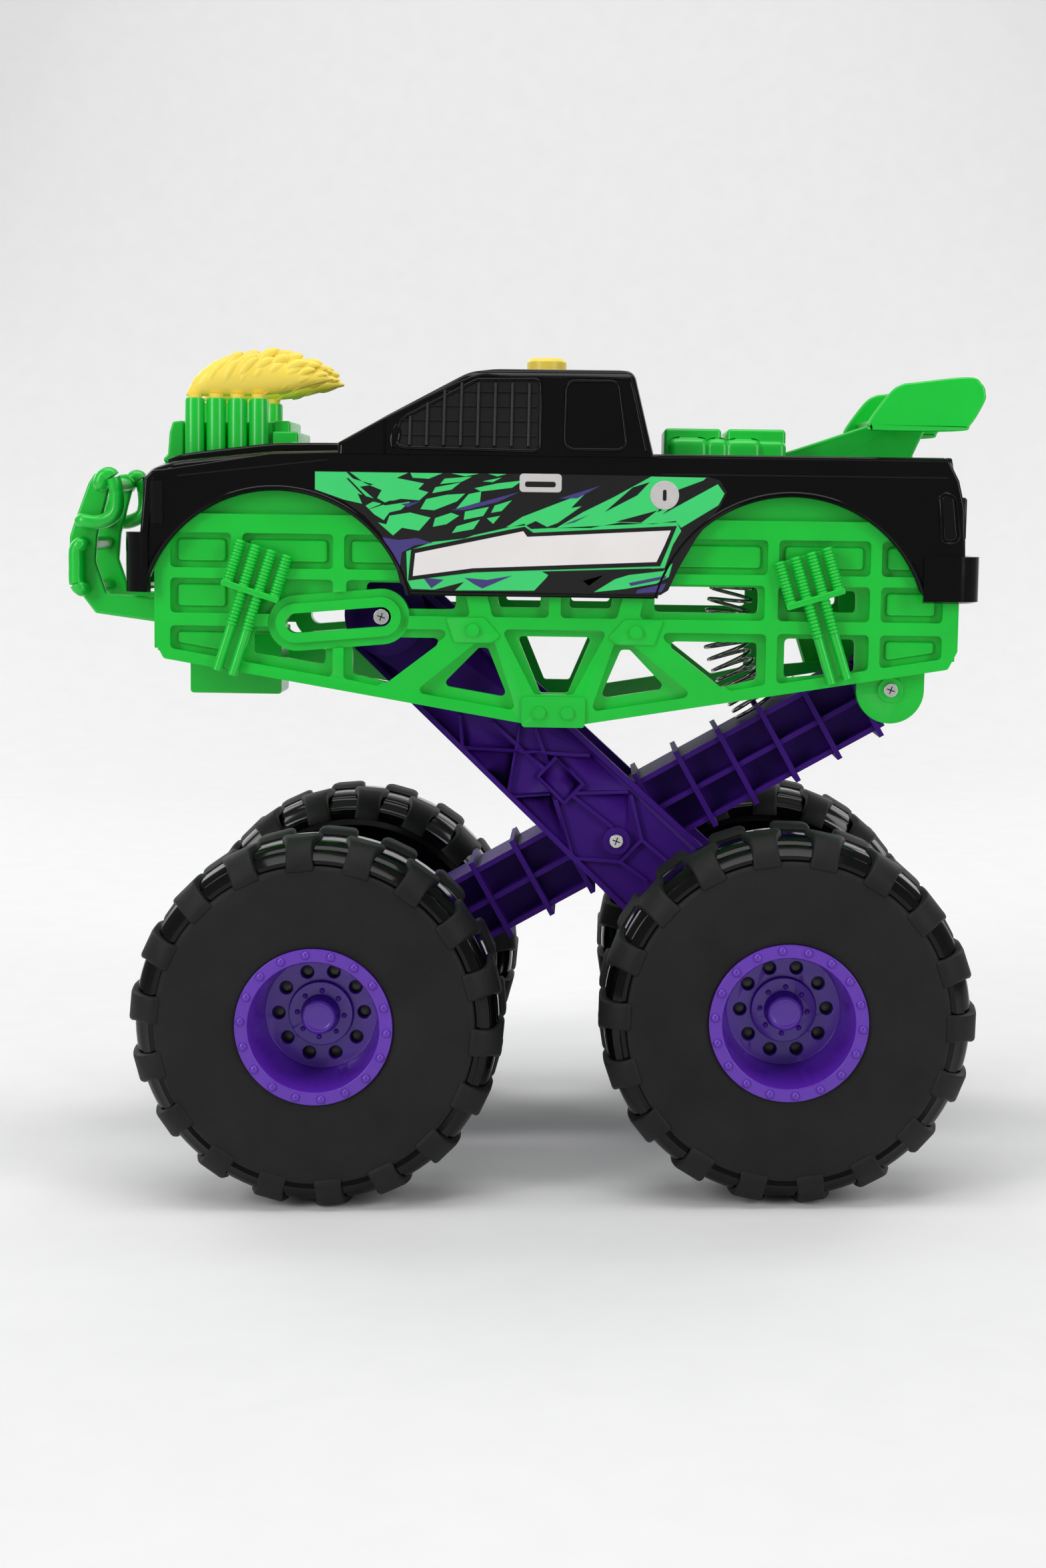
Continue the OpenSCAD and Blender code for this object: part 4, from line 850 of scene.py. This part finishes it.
for side in ("left", "right"):
    # dark pane with eight upright bars and four thin cross wires
    pane = Shape()
    outline = drawnIn(roundCorners(sideWindow, 3.0, 5), 0.5)
    pane.loft(np.stack([onSide(outline, -1.2), onSide(outline, 0.12)]))
    bodyPiece(pane.forSide(side), "sidePane" + side.capitalize(), "blackSoft", [f"side_window_{side}"],
              slotName="tinted_window")
    mesh = Shape()
    for i in range(8):
        x = windowRear + 5.0 + 7.4 * i
        high = min(level["roof"] - 7.5, level["belt"] + 11 + 0.79 * (windowFront - x))
        sweep(mesh, onSide([[x, z] for z in np.linspace(level["belt"] + 2.5, high, 6)], 0.55), 0.75, 8)
    for k in range(4):
        z = level["belt"] + 7 + 6.4 * k
        right = min(windowFront - 2, windowFront - (z - level["belt"] - 12) / 0.79)
        sweep(mesh, onSide([[x, z] for x in np.linspace(windowRear + 1.5, right, 6)], 0.2), 0.4, 6)
    bodyPiece(mesh.forSide(side), "windowBars" + side.capitalize(), "blackSoft")


def tiltedPane(name, corners, nodeName, proud=0.35):
    # a rounded pane across the truck between two lines of [x, z, half width], bowed a little
    (xa, za, wa), (xb, zb, wb) = corners
    v = np.linspace(0, 1, 9)
    u = np.linspace(-1, 1, 17)
    x = xa + (xb - xa) * v[:, None] + 0 * u
    z = za + (zb - za) * v[:, None] + 0 * u
    y = (wa + (wb - wa) * v[:, None]) * u * (1 - 0.04 * (np.abs(2 * v[:, None] - 1) ** 4) * np.abs(u) ** 3)
    direction = np.array([zb - za, 0, xa - xb], float)
    direction /= np.linalg.norm(direction)
    if direction[2] < 0:
        direction = -direction
    surface = np.stack([x, y, z], -1)
    edge = np.concatenate([surface[0], surface[1:, -1], surface[-1, -2::-1], surface[-2:0:-1, 0]])
    middle = edge.mean(axis=0)
    rings = np.stack([edge - direction * 1.5, edge + direction * (proud - 0.15),
                      middle + (edge - middle) * 0.985 + direction * proud,
                      middle + (edge - middle) * 0.4 + direction * (proud + 0.15)])
    shape = Shape()
    shape.loft(rings)
    return bodyPiece(shape, name, "glass", [nodeName], smoothAngle=30)


def frontX(z):
    return cabLines(z)[0]


tiltedPane("windshield", [(frontX(level["belt"] + 6), level["belt"] + 6, 49.0),
                          (frontX(level["roof"] - 6), level["roof"] - 6, 42.0)], "windshield")
tiltedPane("rearWindow", [(cabLines(level["belt"] + 7)[1], level["belt"] + 7, 44.0),
                          (cabLines(level["roof"] - 8)[1], level["roof"] - 8, 38.0)], "rear_window", 0.3)

for node, edge in (("bed", 0.5), ("tailgate", 0.7), ("grille", 0.4)):
    softened(node, node, finish["black"], edge, "chassis")
softened("roof_button", "roofButton", finish["yellow"], 0.5, "chassis", 3)

bumper = dict(front=station["nose"] + 5.4, rear=station["tail"] - 3.6, half=57.1, corner=9.0)
sill = level["sill"]
rear = Shape()
railAlong(rear, aroundEnd(station["tail"] + 18.5, bumper["rear"], bumper["half"], bumper["corner"], -1),
          [[-3.4, sill + 0.6], [-0.6, sill - 0.2], [0.3, sill + 0.8], [1.1, sill + 5], [1.5, sill + 12.5],
           [1.0, sill + 15.2], [-0.3, sill + 15.6], [-0.2, sill + 19.4], [-1.0, sill + 20.2],
           [-3.4, sill + 20.2]])
bodyPiece(rear, "rearBumper", "black", ["rear_bumper"])
nose = Shape()
railAlong(nose, aroundEnd(station["nose"] - 3.5, bumper["front"], bumper["half"], bumper["corner"], 1),
          [[-3.0, sill], [0.2, sill - 0.2], [1.0, sill + 1.0], [1.6, sill + 6], [0.9, sill + 7.4],
           [1.0, sill + 8.8],
           [2.0, sill + 10.5], [2.1, sill + 14], [1.3, sill + 15.4], [1.3, sill + 17], [1.9, sill + 18.4],
           [1.4, sill + 24.6], [0.2, sill + 26.2], [-3.0, sill + 26.2]])
for i in range(3):  # upright ribs at the corners and a plate bracket in the middle
    for y in (44.0 - 5.5 * i, -44.0 + 5.5 * i):
        roundedBox(nose, (bumper["front"] - 2, bumper["front"] + 2.6), (y - 0.9, y + 0.9),
                   (sill + 1.5, sill + 24), 0.5, 0.6)
roundedBox(nose, (bumper["front"] - 2, bumper["front"] + 2.4), (-15, 15), (sill + 3, sill + 17), 0.8, 0.8)
bodyPiece(nose, "frontBumper", "black", ["front_bumper"])

# wrap-round headlamps and tail lamps, each a clear pane in a beaded frame
lamp = dict(low=sill + 29, high=level["nose"] - 8.5, half=57.9, bead=58.6, lensIn=57.8, lensOut=58.95)
panes, beads = Shape(), Shape()
path = aroundEnd(station["nose"] - 9.7, station["nose"] - 1.2, lamp["half"], 6.0, 1)
middleRow = len(path) // 2
for part in (path[:middleRow - 2], path[middleRow + 3:]):
    low, high = lamp["low"], lamp["high"]
    railAlong(panes, part, [[-1.4, low + 1], [0.35, low + 1], [0.7, low + 2.2], [0.7, high - 2.2],
                            [0.35, high - 1],
                            [-1.4, high - 1]])
    for z in (low, high, (low + high) / 2):
        railAlong(beads, part, [[-1.2, z - 0.5], [0.6, z - 0.5], [1.05, z], [0.6, z + 0.5], [-1.2, z + 0.5]])
tailLamp = roundCorners(np.array([[station["tail"] + 13, sill + 48.5], [station["tail"] + 5.4, sill + 46.5],
                                  [station["tail"] + 3.0, sill + 26.5], [station["tail"] + 11, sill + 25.5]]),
                                  3.0)
for outward in (1, -1):
    loop = np.stack([tailLamp[:, 0], np.full(len(tailLamp), outward * lamp["bead"]), tailLamp[:, 1]], -1)
    sweep(beads, loop, 0.6, 8, True, up=(0.0, 1.0, 0.2))
    slabOf = Shape()
    slab(slabOf, drawnIn(tailLamp, 1.2), lamp["lensIn"], lamp["lensOut"], 0.4)
    panes.add(np.concatenate(slabOf.points) * [1, outward, 1], slabOf.faces)
    roundedBox(panes, (station["tail"] - 0.5, station["tail"] + 2), (outward * 47 - 5.5, outward * 47 + 5.5),
               (sill + 28, sill + 46), 1.2, 1.2)
bodyPiece(panes, "lampPanes", "glass", slotName="black_gloss")
bodyPiece(beads, "lampBeads", "black")
bars = Shape()
for k in range(4):
    z = sill + 30.6 + 5.2 * k
    roundedBox(bars, (station["nose"] - 4, station["nose"] + 0.9), (-34, 34), (z, z + 2.6), 0.6, 0.6)
bodyPiece(bars, "grilleBars", "black")
print("body made")


sticker = dict(front=station["nose"] - 76.2, top=level["belt"] - 9.2, base=58.62, sheet=0.14, trimIn=58.3,
               handleOut=59.0, capOut=58.98,
               markIn=58.5, markOut=59.08)
shards = dict(
    backing=[[[0, 0], [172, 0.4], [177, 2], [180, 7], [177.5, 12.8], [167, 27.3], [159.6, 40.4],
              [155.3, 49.9],
              [152, 52], [42, 51.5], [38, 48.5], [34.6, 36], [29, 26.6], [22.2, 19.3], [12.8, 12.8],
              [0, 8.4]]],
    mint=[[[0.3, 0.3], [14, 0.3], [17, 3.2], [26, 5.6], [20, 6.6], [26, 11.6], [19, 9.6], [21, 14],
           [13, 12.3],
           [0.3, 8]],
          [[15.5, 0.3], [41, 0.3], [36, 2.6], [48, 4.8], [45.5, 7.4], [50, 8.6], [46, 12.2], [38, 11.6],
           [31, 13.4],
           [27.5, 11.4], [29.5, 8.0], [22, 5.0]],
          [[22.5, 14.8], [26.4, 12.6], [31, 14.6], [42, 12.8], [38, 16.4], [33, 17.6], [30.5, 21],
           [26.4, 18.6]],
          [[28, 22], [31.6, 22.8], [33, 19], [42, 17.5], [51, 19.6], [46, 25.4], [38.5, 24.2], [34.6, 27.6]],
          [[49, 11.6], [58, 9.6], [66, 9.0], [62.5, 12.4], [52.5, 16.4], [46.5, 16]],
          [[67.5, 9.2], [73, 8.0], [72.5, 12.6], [62, 15.8], [65, 12.2]],
          [[53, 6.4], [64, 4.2], [60, 7.4], [51.6, 9.0]], [[57, 2.6], [69, 1.6], [64.5, 3.9], [55, 5.0]],
          [[70, 6.6], [80, 4.4], [91, 3.0], [86.5, 6.2], [73, 8.0]], [[73.5, 3.6], [82, 1.8], [78, 3.9]],
          [[42, 0.3], [56, 0.3], [50, 2.8], [43, 2.4]], [[60, 0.3], [72, 0.3], [66, 1.6]],
          [[76, 0.3], [84, 0.3], [80, 1.4]],
          [[53, 19.8], [60, 17.4], [63.5, 18.6], [58, 22.4], [52, 23.6]],
          [[66, 16.8], [76.5, 14.6], [74, 18.6], [65.5, 20.4]],
          [[79, 14], [86.5, 11.6], [82, 16.4], [77.4, 17.2]],
          [[62.5, 23.2], [72.6, 20.2], [69.8, 24.4], [60.4, 26.2]], [[75.6, 19.6], [81.4, 18.4], [78.4, 22]],
          [[84, 23.4], [91, 18.8], [103, 14.0], [119, 7.7], [112.4, 14.6], [117, 13.8], [106.6, 21.2],
           [102, 23],
           [97, 20.5], [93, 22.4]],
          [[106, 23.4], [117.5, 16.4], [131, 9.6], [147, 0.6], [171, 0.8], [152, 17], [176, 3.5], [179, 7.6],
           [176.5, 12.6], [160.4, 22.6], [158, 19.6], [148, 21.2], [134, 20.6], [121, 23.2]],
          [[40.5, 34.5], [52, 30.2], [66, 28.5], [70, 27], [92, 21.8], [95, 24], [158.5, 20.2], [160.5, 24],
           [157, 30],
           [153.5, 40.2], [128, 41.6], [104, 42.2], [98, 50.8], [62, 51.2], [66, 47.4], [53, 51], [43, 50.8],
           [41, 47]],
          [[122, 51.2], [128, 46.6], [138, 43.4], [153, 41.5], [157, 38], [155.5, 44], [150, 47],
           [136, 49.6]]],
    purple=[[[30, 28.5], [37, 29.6], [45, 28.6], [52, 30.6], [44, 31.8], [38.5, 35], [37.5, 43],
             [34.6, 36.4]],
            [[60, 16.2], [76, 11.8], [90, 7.9], [80, 12.6], [66, 16.2]],
            [[107, 10.6], [125, 4.8], [115, 10.4]],
            [[109, 22], [120, 17.6], [114, 20.8]],
            [[66, 45.6], [76, 46.4], [87, 44.4], [74, 50.2], [70.4, 48.4]],
            [[48, 45.8], [57, 46.6], [51.6, 50.4]],
            [[142, 49.8], [154.5, 46.8], [152.5, 50.6], [141, 51.4]], [[38, 13.9], [46.6, 12.6], [41, 15.2]],
            [[138, 46.9], [154.4, 43.4], [154, 44.8], [139, 48.2]]],
    crack=[[[14, 3], [15, 3], [24, 12], [31, 14], [23.5, 12.6]], [[22, 17], [33, 12.5], [44, 12], [33, 13.4]],
           [[100, 42.4], [148, 40.4], [134, 44], [122, 51.6], [96, 51.6], [103, 44]],
           [[154, 8], [171, 1.5], [162, 10], [150, 16]], [[132, 20.3], [150, 15.2], [143, 20.6]],
           [[139, 5.4], [146.4, 3.0], [141, 8.8], [127, 16.2]], [[118, 46.2], [127, 43.6], [120.6, 48.4]]],
    banner=[[[42.6, 33.6], [92.2, 23], [96, 25.6], [158.6, 21.8], [155.2, 30.5], [151.6, 39.4], [70, 43.2],
             [41.4, 47.2]]],
    plate=[[[44.4, 35.2], [91.6, 25], [93.4, 27.4], [156, 23.8], [153.4, 30.2], [150, 37.6], [69.8, 41.4],
            [43.4, 45.2]]])
layers = dict(backing=(0, "blackPrintAndShade"), mint=(1, "mint"), purple=(2, "stickerPurple"),
              crack=(2, "blackPrintAndShade"),
              banner=(3, "blackPrintAndShade"), plate=(4, "white"))
for layer, (depth, finishName) in layers.items():
    sheet = Shape()
    for corners in shards[layer]:
        at = np.array([[sticker["front"] - a, sticker["top"] - b] for a, b in corners])
        low = sticker["base"] - 0.3
        slab(sheet, at, low, sticker["base"] + sticker["sheet"] * 0.45 * (depth + 1), 0.02, 1)
    sheet.both()
    sheet.piece("sticker" + layer.capitalize(), finish[finishName], "chassis", "black_gloss", place=raised,
                smoothAngle=20)

trim = Shape()
handleX, handleZ = sticker["front"] - 89.5, sticker["top"] - 4.0
slab(trim, roundCorners(np.array([[handleX - 0.2, handleZ + 4], [handleX - 18.6, handleZ + 4],
                                  [handleX - 18.6, handleZ - 4], [handleX - 0.2, handleZ - 4]]), 1.6),
     sticker["trimIn"], sticker["handleOut"], 0.25)
capX, capZ = sticker["front"] - 153.0, sticker["top"] - 8.6
a = np.linspace(0, 2 * math.pi, 40, endpoint=False)
slab(trim, np.stack([capX + 6.3 * np.cos(a), capZ + 6.3 * np.sin(a)], -1),
     sticker["trimIn"], sticker["capOut"], 0.3)
for i in range(8):
    b = i * math.pi / 4 + 0.2
    dome(trim, [capX + 5.4 * math.cos(b), 58.95, capZ + 5.4 * math.sin(b)], 0.45, 0.2, (0, 1, 0), 8, 2)
trim.both()
bodyPiece(trim, "handleAndFuelCap", "silver")
marks = Shape()
slab(marks, roundCorners(np.array([[handleX - 2.6, handleZ + 0.6], [handleX - 16, handleZ + 0.6],
                                   [handleX - 16, handleZ - 1.8], [handleX - 2.6, handleZ - 1.8]]), 1.0),
     sticker["markIn"], sticker["markOut"], 0.05)
slab(marks, roundCorners(np.array([[capX - 0.8, capZ - 2.4], [capX + 0.8, capZ - 2.4],
                                   [capX + 0.8, capZ + 2.4],
                                   [capX - 0.8, capZ + 2.4]]), 0.7),
     sticker["markIn"], sticker["markOut"], 0.05)
marks.both()
bodyPiece(marks, "handleSlots", "blackPrintAndShade")
print("stickers made")


engine = dict(x=station["nose"] - 35, top=level["cowl"] + 8, stackHeight=12.0, step=9.6, row=25.6,
              hood=level["nose"] + 2.0)
block = Shape()
roundedBox(block, (engine["x"] - 20, engine["x"] + 24), (-20, 20), (engine["hood"], engine["top"] + 2), 2,
           1.6)
roundedBox(block, (engine["x"] - 30, engine["x"] - 18), (-25, 25), (engine["hood"] + 2, engine["top"] - 2.4),
           1.5, 1.2)
roundedBox(block, (engine["x"] - 26, engine["x"] - 18), (-21, 21), (engine["hood"] + 2, engine["top"] + 2.5),
           1.5, 1.2)
roundedBox(block, (engine["x"] - 31, engine["x"] - 27), (-27, 27), (engine["hood"] + 2, engine["top"] - 7),
           1.0, 0.9)
for y in (-17.0, 0.0, 17.0):
    lugOutline = np.array([[engine["x"] + 22, engine["hood"] - 3], [engine["x"] + 31, engine["hood"] - 3],
                     [engine["x"] + 31.4, engine["hood"] - 1], [engine["x"] + 29.4, engine["hood"] + 1],
                     [engine["x"] + 28.6, engine["top"] - 3], [engine["x"] + 27.2, engine["top"] + 1.5],
                     [engine["x"] + 22, engine["top"] + 2.2]])
    slab(block, roundCorners(lugOutline, 1.2), y - 5, y + 5, 0.9)
bodyPiece(block, "hoodEngine", "green", ["hood_engine"])
stacks = Shape()
for i in (-1.5, -0.5, 0.5, 1.5):
    at = np.array([engine["x"] + 2 + engine["step"] * i, engine["row"]])
    # each stack is a lathe form from the hood up, with an open mouth
    profile = np.array([[0.3, -18], [4.3, -18], [4.4, -17], [4.4, 11.0], [4.2, 11.8], [3.7, 12], [3.2, 11.7],
                        [3.1, 8],
                        [0.3, 8]])
    angles = np.linspace(0, 2 * math.pi, 28, endpoint=False)
    rings = np.stack([at[0] + profile[:, 0][:, None] * np.cos(angles),
                      at[1] + profile[:, 0][:, None] * np.sin(angles),
                      engine["top"] + profile[:, 1][:, None] + 0 * angles], -1)
    stacks.loft(rings)
stacks.both()
bodyPiece(stacks, "exhaustStacks", "green", ["exhaust_stacks"])

# the flame's lower and upper edge against the distance from the engine's middle
blazeEdge = dict(at=[-47, -44.5, -38, -32, -23, -12, 0, 8, 14, 18, 20.5],
                 low=[8.8, 8.0, 6.2, 4.2, 1.8, 0.5, 0.3, 0.3, 0.3, 0.4, 0.8],
                 top=[9.6, 10.4, 12.8, 15.2, 19.6, 21.4, 20.6, 17, 12.5, 7, 1.6], rows=4, columns=9,
                 thick=6.2)


def blazeAt(x):
    return (np.interp(x, blazeEdge["at"], blazeEdge["low"]), np.interp(x, blazeEdge["at"], blazeEdge["top"]))


for side, outward in (("left", 1), ("right", -1)):
    blaze = Shape()
    base = engine["top"] + engine["stackHeight"]
    # the body: ellipses between both edges, thick in the middle
    xs = 20.5 - 66.5 * (0.5 - 0.5 * np.cos(np.linspace(0.12, math.pi - 0.12, 30)))
    lowEdge, topEdge = blazeAt(xs)
    phi = np.linspace(0, 2 * math.pi, 28, endpoint=False)
    thick = (blazeEdge["thick"] - 1.2) * np.clip(np.minimum((21 - xs) / 9, (xs + 47) / 20), 0.05, 1) ** 0.6
    mid, half = (lowEdge + topEdge) / 2, (topEdge - lowEdge) / 2 * 0.92
    blaze.loft(np.stack([engine["x"] + xs[:, None] + 0 * phi,
                         outward * (engine["row"] - 1) + thick[:, None] * np.cos(phi),
                         base + mid[:, None] + half[:, None] * np.sin(phi)], -1))
    # rows of licking tongues that lean back and flatten towards the tail
    for i in range(blazeEdge["columns"]):
        for k in range(blazeEdge["rows"]):
            for face in (-1, 1):
                f = (k + 0.5 * ((i + (face > 0)) % 2)) / blazeEdge["rows"]
                x = 18.0 - 6.5 * i - 2.2 * f
                lowHere, topHere = blazeAt(x)
                tilt = math.radians(70 - 6.6 * i - 12 * f + (5 if (i + k) % 2 else -3))
                shrink = np.interp(x, [-42, -20, 8, 18], [0.45, 1, 1, 0.7])
                size = (11.5 + 2.0 * ((i * 2 + k) % 3)) * shrink
                z = lowHere + 0.6 + (topHere - lowHere - size * 0.78 * math.sin(tilt)) * f * 0.98
                rise = abs(2 * f - 0.9)
                width = np.interp(x, [-46, -28, 10, 20],
                                  [0.8, 4.2, 4.6, 2.0]) * math.sqrt(max(1 - rise ** 2 * 0.8, 0.1))
                at = [engine["x"] + x, outward * (engine["row"] - 1) + face * (width - 1.4), base + z]
                petal(blaze, at, (-math.cos(tilt), face * 0.04, math.sin(tilt)), size, 2.7 * shrink, 0.8)
    for i in (-1.5, -0.5, 0.5, 1.5):
        path = [[engine["x"] + 2 + engine["step"] * i, outward * engine["row"],
                 engine["top"] + z] for z in (9, 11, 14)]
        sweep(blaze, path, [2.9, 2.9, 3.4], 16)
    bodyPiece(blaze, "flame" + side.capitalize(), "yellow", [f"flame_{side}"], smoothAngle=60)
print("engine made")


blocks = Shape()
bedTop = level["belt"]
for x1, length in ((station["cabBack"] - 5.6, 25.4), (station["cabBack"] - 33.6, 26.2)):
    roundedBox(blocks, (x1 - length, x1), (-25, 25), (level["bed"] + 0.2, bedTop + 12.4), 1.6, 1.6)
roundedBox(blocks, (station["cabBack"] - 60, station["cabBack"] - 30), (-27.5, 27.5),
           (level["bed"] + 0.2, bedTop + 7.4), 3, 3)
for x1, length, high in ((station["cabBack"] - 7.4, 18.0, 8.6), (station["cabBack"] - 23.6, 11.0, 8.4),
                         (station["cabBack"] - 32.2, 17.0, 8.2)):
    for y in (-30.0, 22.0):
        roundedBox(blocks, (x1 - length, x1), (y, y + 8), (level["bed"] + 0.2, bedTop + high), 3.6, 4.2, 8)
bodyPiece(blocks, "bedEngine", "green", ["bed_engine"], smoothAngle=45)

wingX, wingZ = station["cab"] - 231.5, level["belt"] + 15
pylon = Shape()
foot = wingX + 27
slab(pylon, roundCorners(np.array([[foot - 55, level["bed"]], [foot, level["bed"]],
                                   [foot + 10, level["belt"] + 1.2],
                                   [wingX - 8, wingZ + 1.5], [wingX - 26, wingZ + 6.5],
                                   [wingX - 32, wingZ + 2],
                                   [foot - 52, level["belt"] + 2]]), 1.2), 6, 10, 1.0)
pylon.both()
bodyPiece(pylon, "wingPylon", "green", ["wing_pylon"])
wing = Shape()
chord = np.array([[-6.2, 0.4], [-5.2, 2.6], [-18, 6.4], [-32, 11.4], [-43.5, 15.2], [-44.2, 13.6], [-32, 9.2],
                  [-18, 4.2]])
ys = np.linspace(-50, 50, 21)
wing.loft(np.stack([np.stack([wingX + chord[:, 0], np.full(len(chord), y), wingZ + chord[:, 1]],
                             -1) for y in ys]))
plate = np.array([[0, -2], [-0.5, 1.5], [-9, 13], [-14, 16.5], [-20, 17.5], [-43, 20], [-49, 17], [-50.5, 13],
                  [-50, 9], [-44.5, -0.5], [-39, -3.4], [-4, -3.6]])
ends = Shape()
slab(ends, smoothPath(plate + [wingX, wingZ], 9, True), 49.9, 52.9, 1.2, 4)
wing.add(np.concatenate(ends.points), ends.faces)
wing.add(mirrored(np.concatenate(ends.points)), ends.faces)
bodyPiece(wing, "wing", "green", ["wing"], smoothAngle=35)
print("wing made")


coil = dict(turns=17, wire=0.85, radius=9.6, points=26, keep=0.8)
footAt = alongBeam(np.array([[55.0, 0, 17.6]]))[0]
topAt = raised(np.array([pivot[0] + 64, 0, level["deck"] - 2.4]))
bow = smoothPath(np.stack([footAt, footAt + [7.4, 0, 13.5], footAt + [13.6, 0, 32], topAt + [5.5, 0, -28],
                           topAt]), 30)
bowTangent = np.gradient(bow, axis=0)
bowTangent /= np.linalg.norm(bowTangent, axis=1, keepdims=True)
t = np.linspace(0, 1, coil["turns"] * coil["points"])
bowPoints = np.stack([np.interp(t, np.linspace(0, 1, len(bow)), bow[:, k]) for k in range(3)], -1)
lean = np.stack([np.interp(t, np.linspace(0, 1, len(bow)), bowTangent[:, k]) for k in range(3)], -1)
sideways = np.array([0.0, 1.0, 0.0])
foreAft = np.cross(sideways, lean)
wind = 2 * math.pi * coil["turns"] * t
helix = bowPoints + coil["radius"] * (np.cos(wind)[:, None] * foreAft + np.sin(wind)[:, None] * sideways)
spring = Shape()
sweep(spring, helix, coil["wire"], 8, up=(0.13, 0.99, 0.05))
springPiece = spring.piece("liftSpring", finish["spring"], "chassis", "spring_steel", ["lift_spring"],
                           smoothAngle=60)
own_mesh(springPiece)

for node, name, edge, body in (("box_arm", "boxArm", 0.4, "box_arm"),
                               ("plate_arm_left", "plateArmLeft", 0.35, "plate_arms"),
                               ("plate_arm_right", "plateArmRight", 0.35, "plate_arms"),
                               ("arm_bridges", "armBridges", 0.3, "plate_arms")):
    softened(node, name, finish["arm"], edge, body, 2, 30)


def screwHead(shape, cross, centre, outward, radius=2.9):
    # a pan head with a cross recess: a dome and four short bars sunk around the cross; the bars go into their own
    # shape to take a dark finish, painted shade for the recess
    revolve(shape, [[0.05, -1.5], [radius, -1.5], [radius, 0.2], [radius * 0.92, 0.6], [radius * 0.62, 0.9],
                    [radius * 0.5, 0.75], [radius * 0.3, 0.2], [0.05, 0.1]], centre, 28, outward, centre[1],
                    False)
    for turn in (0.35, 0.35 + math.pi / 2):
        c, s = math.cos(turn) * radius * 0.62, math.sin(turn) * radius * 0.62
        path = [[centre[0] - c, outward * (centre[1] + 0.72), centre[2] - s],
                [centre[0] + c, outward * (centre[1] + 0.72), centre[2] + s]]
        sweep(cross, path, 0.36, 6)


for node, body in (("rear_pivot_rod", "chassis"), ("crossing_rod", "box_arm"), ("slot_screws", "plate_arms")):
    low, high = np.array(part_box(node)) / metre
    heads, crossShades = Shape(), Shape()
    screwHead(heads, crossShades, [(low[0] + high[0]) / 2, high[1] - 0.9, (low[2] + high[2]) / 2], 1)
    heads.both()
    crossShades.both()
    # the cross bars take a dark satin finish: painted shade in the screw's recess
    crossShades.piece("screwCrossShade_" + node, finish["blackSoft"], body, "steel")
    heads.piece("screwHeads_" + node, finish["chrome"], body, "steel", smoothAngle=50)
for node, name, body in (("rear_pivot_rod", "rearPivotRod", "chassis"),
                         ("crossing_rod", "crossingRod", "box_arm"),
                         ("slot_screws", "slotScrews", "plate_arms"), ("front_axle", "frontAxle", "box_arm"),
                         ("rear_axle", "rearAxle", "plate_arms")):
    softened(node, name, finish["chrome"], 0.25, body)
print("arms made")


def area(name, place, aim, size, power):
    lamp = bpy.data.lights.new(name, "AREA")
    lamp.shape = "RECTANGLE"
    lamp.size, lamp.size_y = size
    lamp.energy = power
    holder = bpy.data.objects.new(name, lamp)
    bpy.context.scene.collection.objects.link(holder)
    holder.location = place
    direction = np.array(aim, float) - place
    holder.rotation_euler = Vector(direction).to_track_quat("-Z", "Y").to_euler()
    return holder


middle = (0.0, 0.0, 0.2)
area("keyLeft", (1.5, 1.5, 1.1), middle, (0.5, 1.4), 18)
area("fillRight", (-1.7, 1.5, 0.9), middle, (0.5, 1.4), 14)
area("topSoft", (0.0, 0.35, 1.9), middle, (1.8, 0.8), 15)
area("backRight", (-1.5, -1.5, 1.2), middle, (1.2, 1.2), 11)
area("backLeft", (1.5, -1.5, 1.2), middle, (1.2, 1.2), 11)

world = bpy.data.worlds.new("studio")
world.use_nodes = True
world.node_tree.nodes["Background"].inputs["Color"].default_value = (0.9, 0.9, 0.9, 1)
world.node_tree.nodes["Background"].inputs["Strength"].default_value = 0.3
bpy.context.scene.world = world

# a pale sweep: the floor runs on in an arc up into a wall behind the truck
sweepShape = dict(front=4000.0, back=-1500.0, bend=900.0, height=3600.0, half=5000.0)
turn = np.linspace(0, math.pi / 2, 24)
line = np.concatenate([[[sweepShape["front"], 0.0]],
                       np.stack([sweepShape["back"] - sweepShape["bend"] * np.sin(turn),
                                 sweepShape["bend"] * (1 - np.cos(turn))], -1),
                       [[sweepShape["back"] - sweepShape["bend"], sweepShape["height"]]]])
under = drawnInside(line, 20.0)
under = under if under[0, 1] < 0 else drawnInside(line, -20.0)
section = np.concatenate([line, under[::-1]]) - [0, 0.2]
floorShape = Shape()
floorShape.loft(np.stack([np.stack([np.full(len(section), x), section[:, 0], section[:, 1]], -1)
                          for x in (-sweepShape["half"], sweepShape["half"])]))
floorFinish = plastic("paleFloor", (0.86, 0.86, 0.86), 0.85, 0.01, 0.0, 40.0)
floor = writeMesh("floor", np.concatenate(floorShape.points), floorShape.faces, floorFinish)
area("wallWash", (0.0, -0.9, 2.6), (0.0, -2.4, 0.9), (3.0, 0.5), 14)

view = dict(place=(-33.1, 1142.1, 292.2), heading=1.555, down=6.17, roll=0.777, focal=56.68)
psi, theta, rho = (math.radians(view[k]) for k in ("heading", "down", "roll"))
axes = np.array([[-math.cos(psi), -math.sin(psi), 0],
                 [math.sin(theta) * math.sin(psi), -math.sin(theta) * math.cos(psi), math.cos(theta)],
                 [-math.cos(theta) * math.sin(psi), math.cos(theta) * math.cos(psi), math.sin(theta)]])
axes = turned(axes, np.zeros(3), rho)
camera = bpy.data.objects.new("camera", bpy.data.cameras.new("camera"))
camera.data.lens = view["focal"]
camera.data.sensor_width = 36
camera.data.clip_end = 20
basis = Matrix([[*axes[:, 0], 0], [*axes[:, 1], 0], [*axes[:, 2], 0], [0, 0, 0, 1]])
camera.matrix_world = Matrix.Translation([c * metre for c in view["place"]]) @ basis
bpy.context.scene.collection.objects.link(camera)
bpy.context.scene.camera = camera
bpy.context.scene.view_settings.view_transform = "Standard"
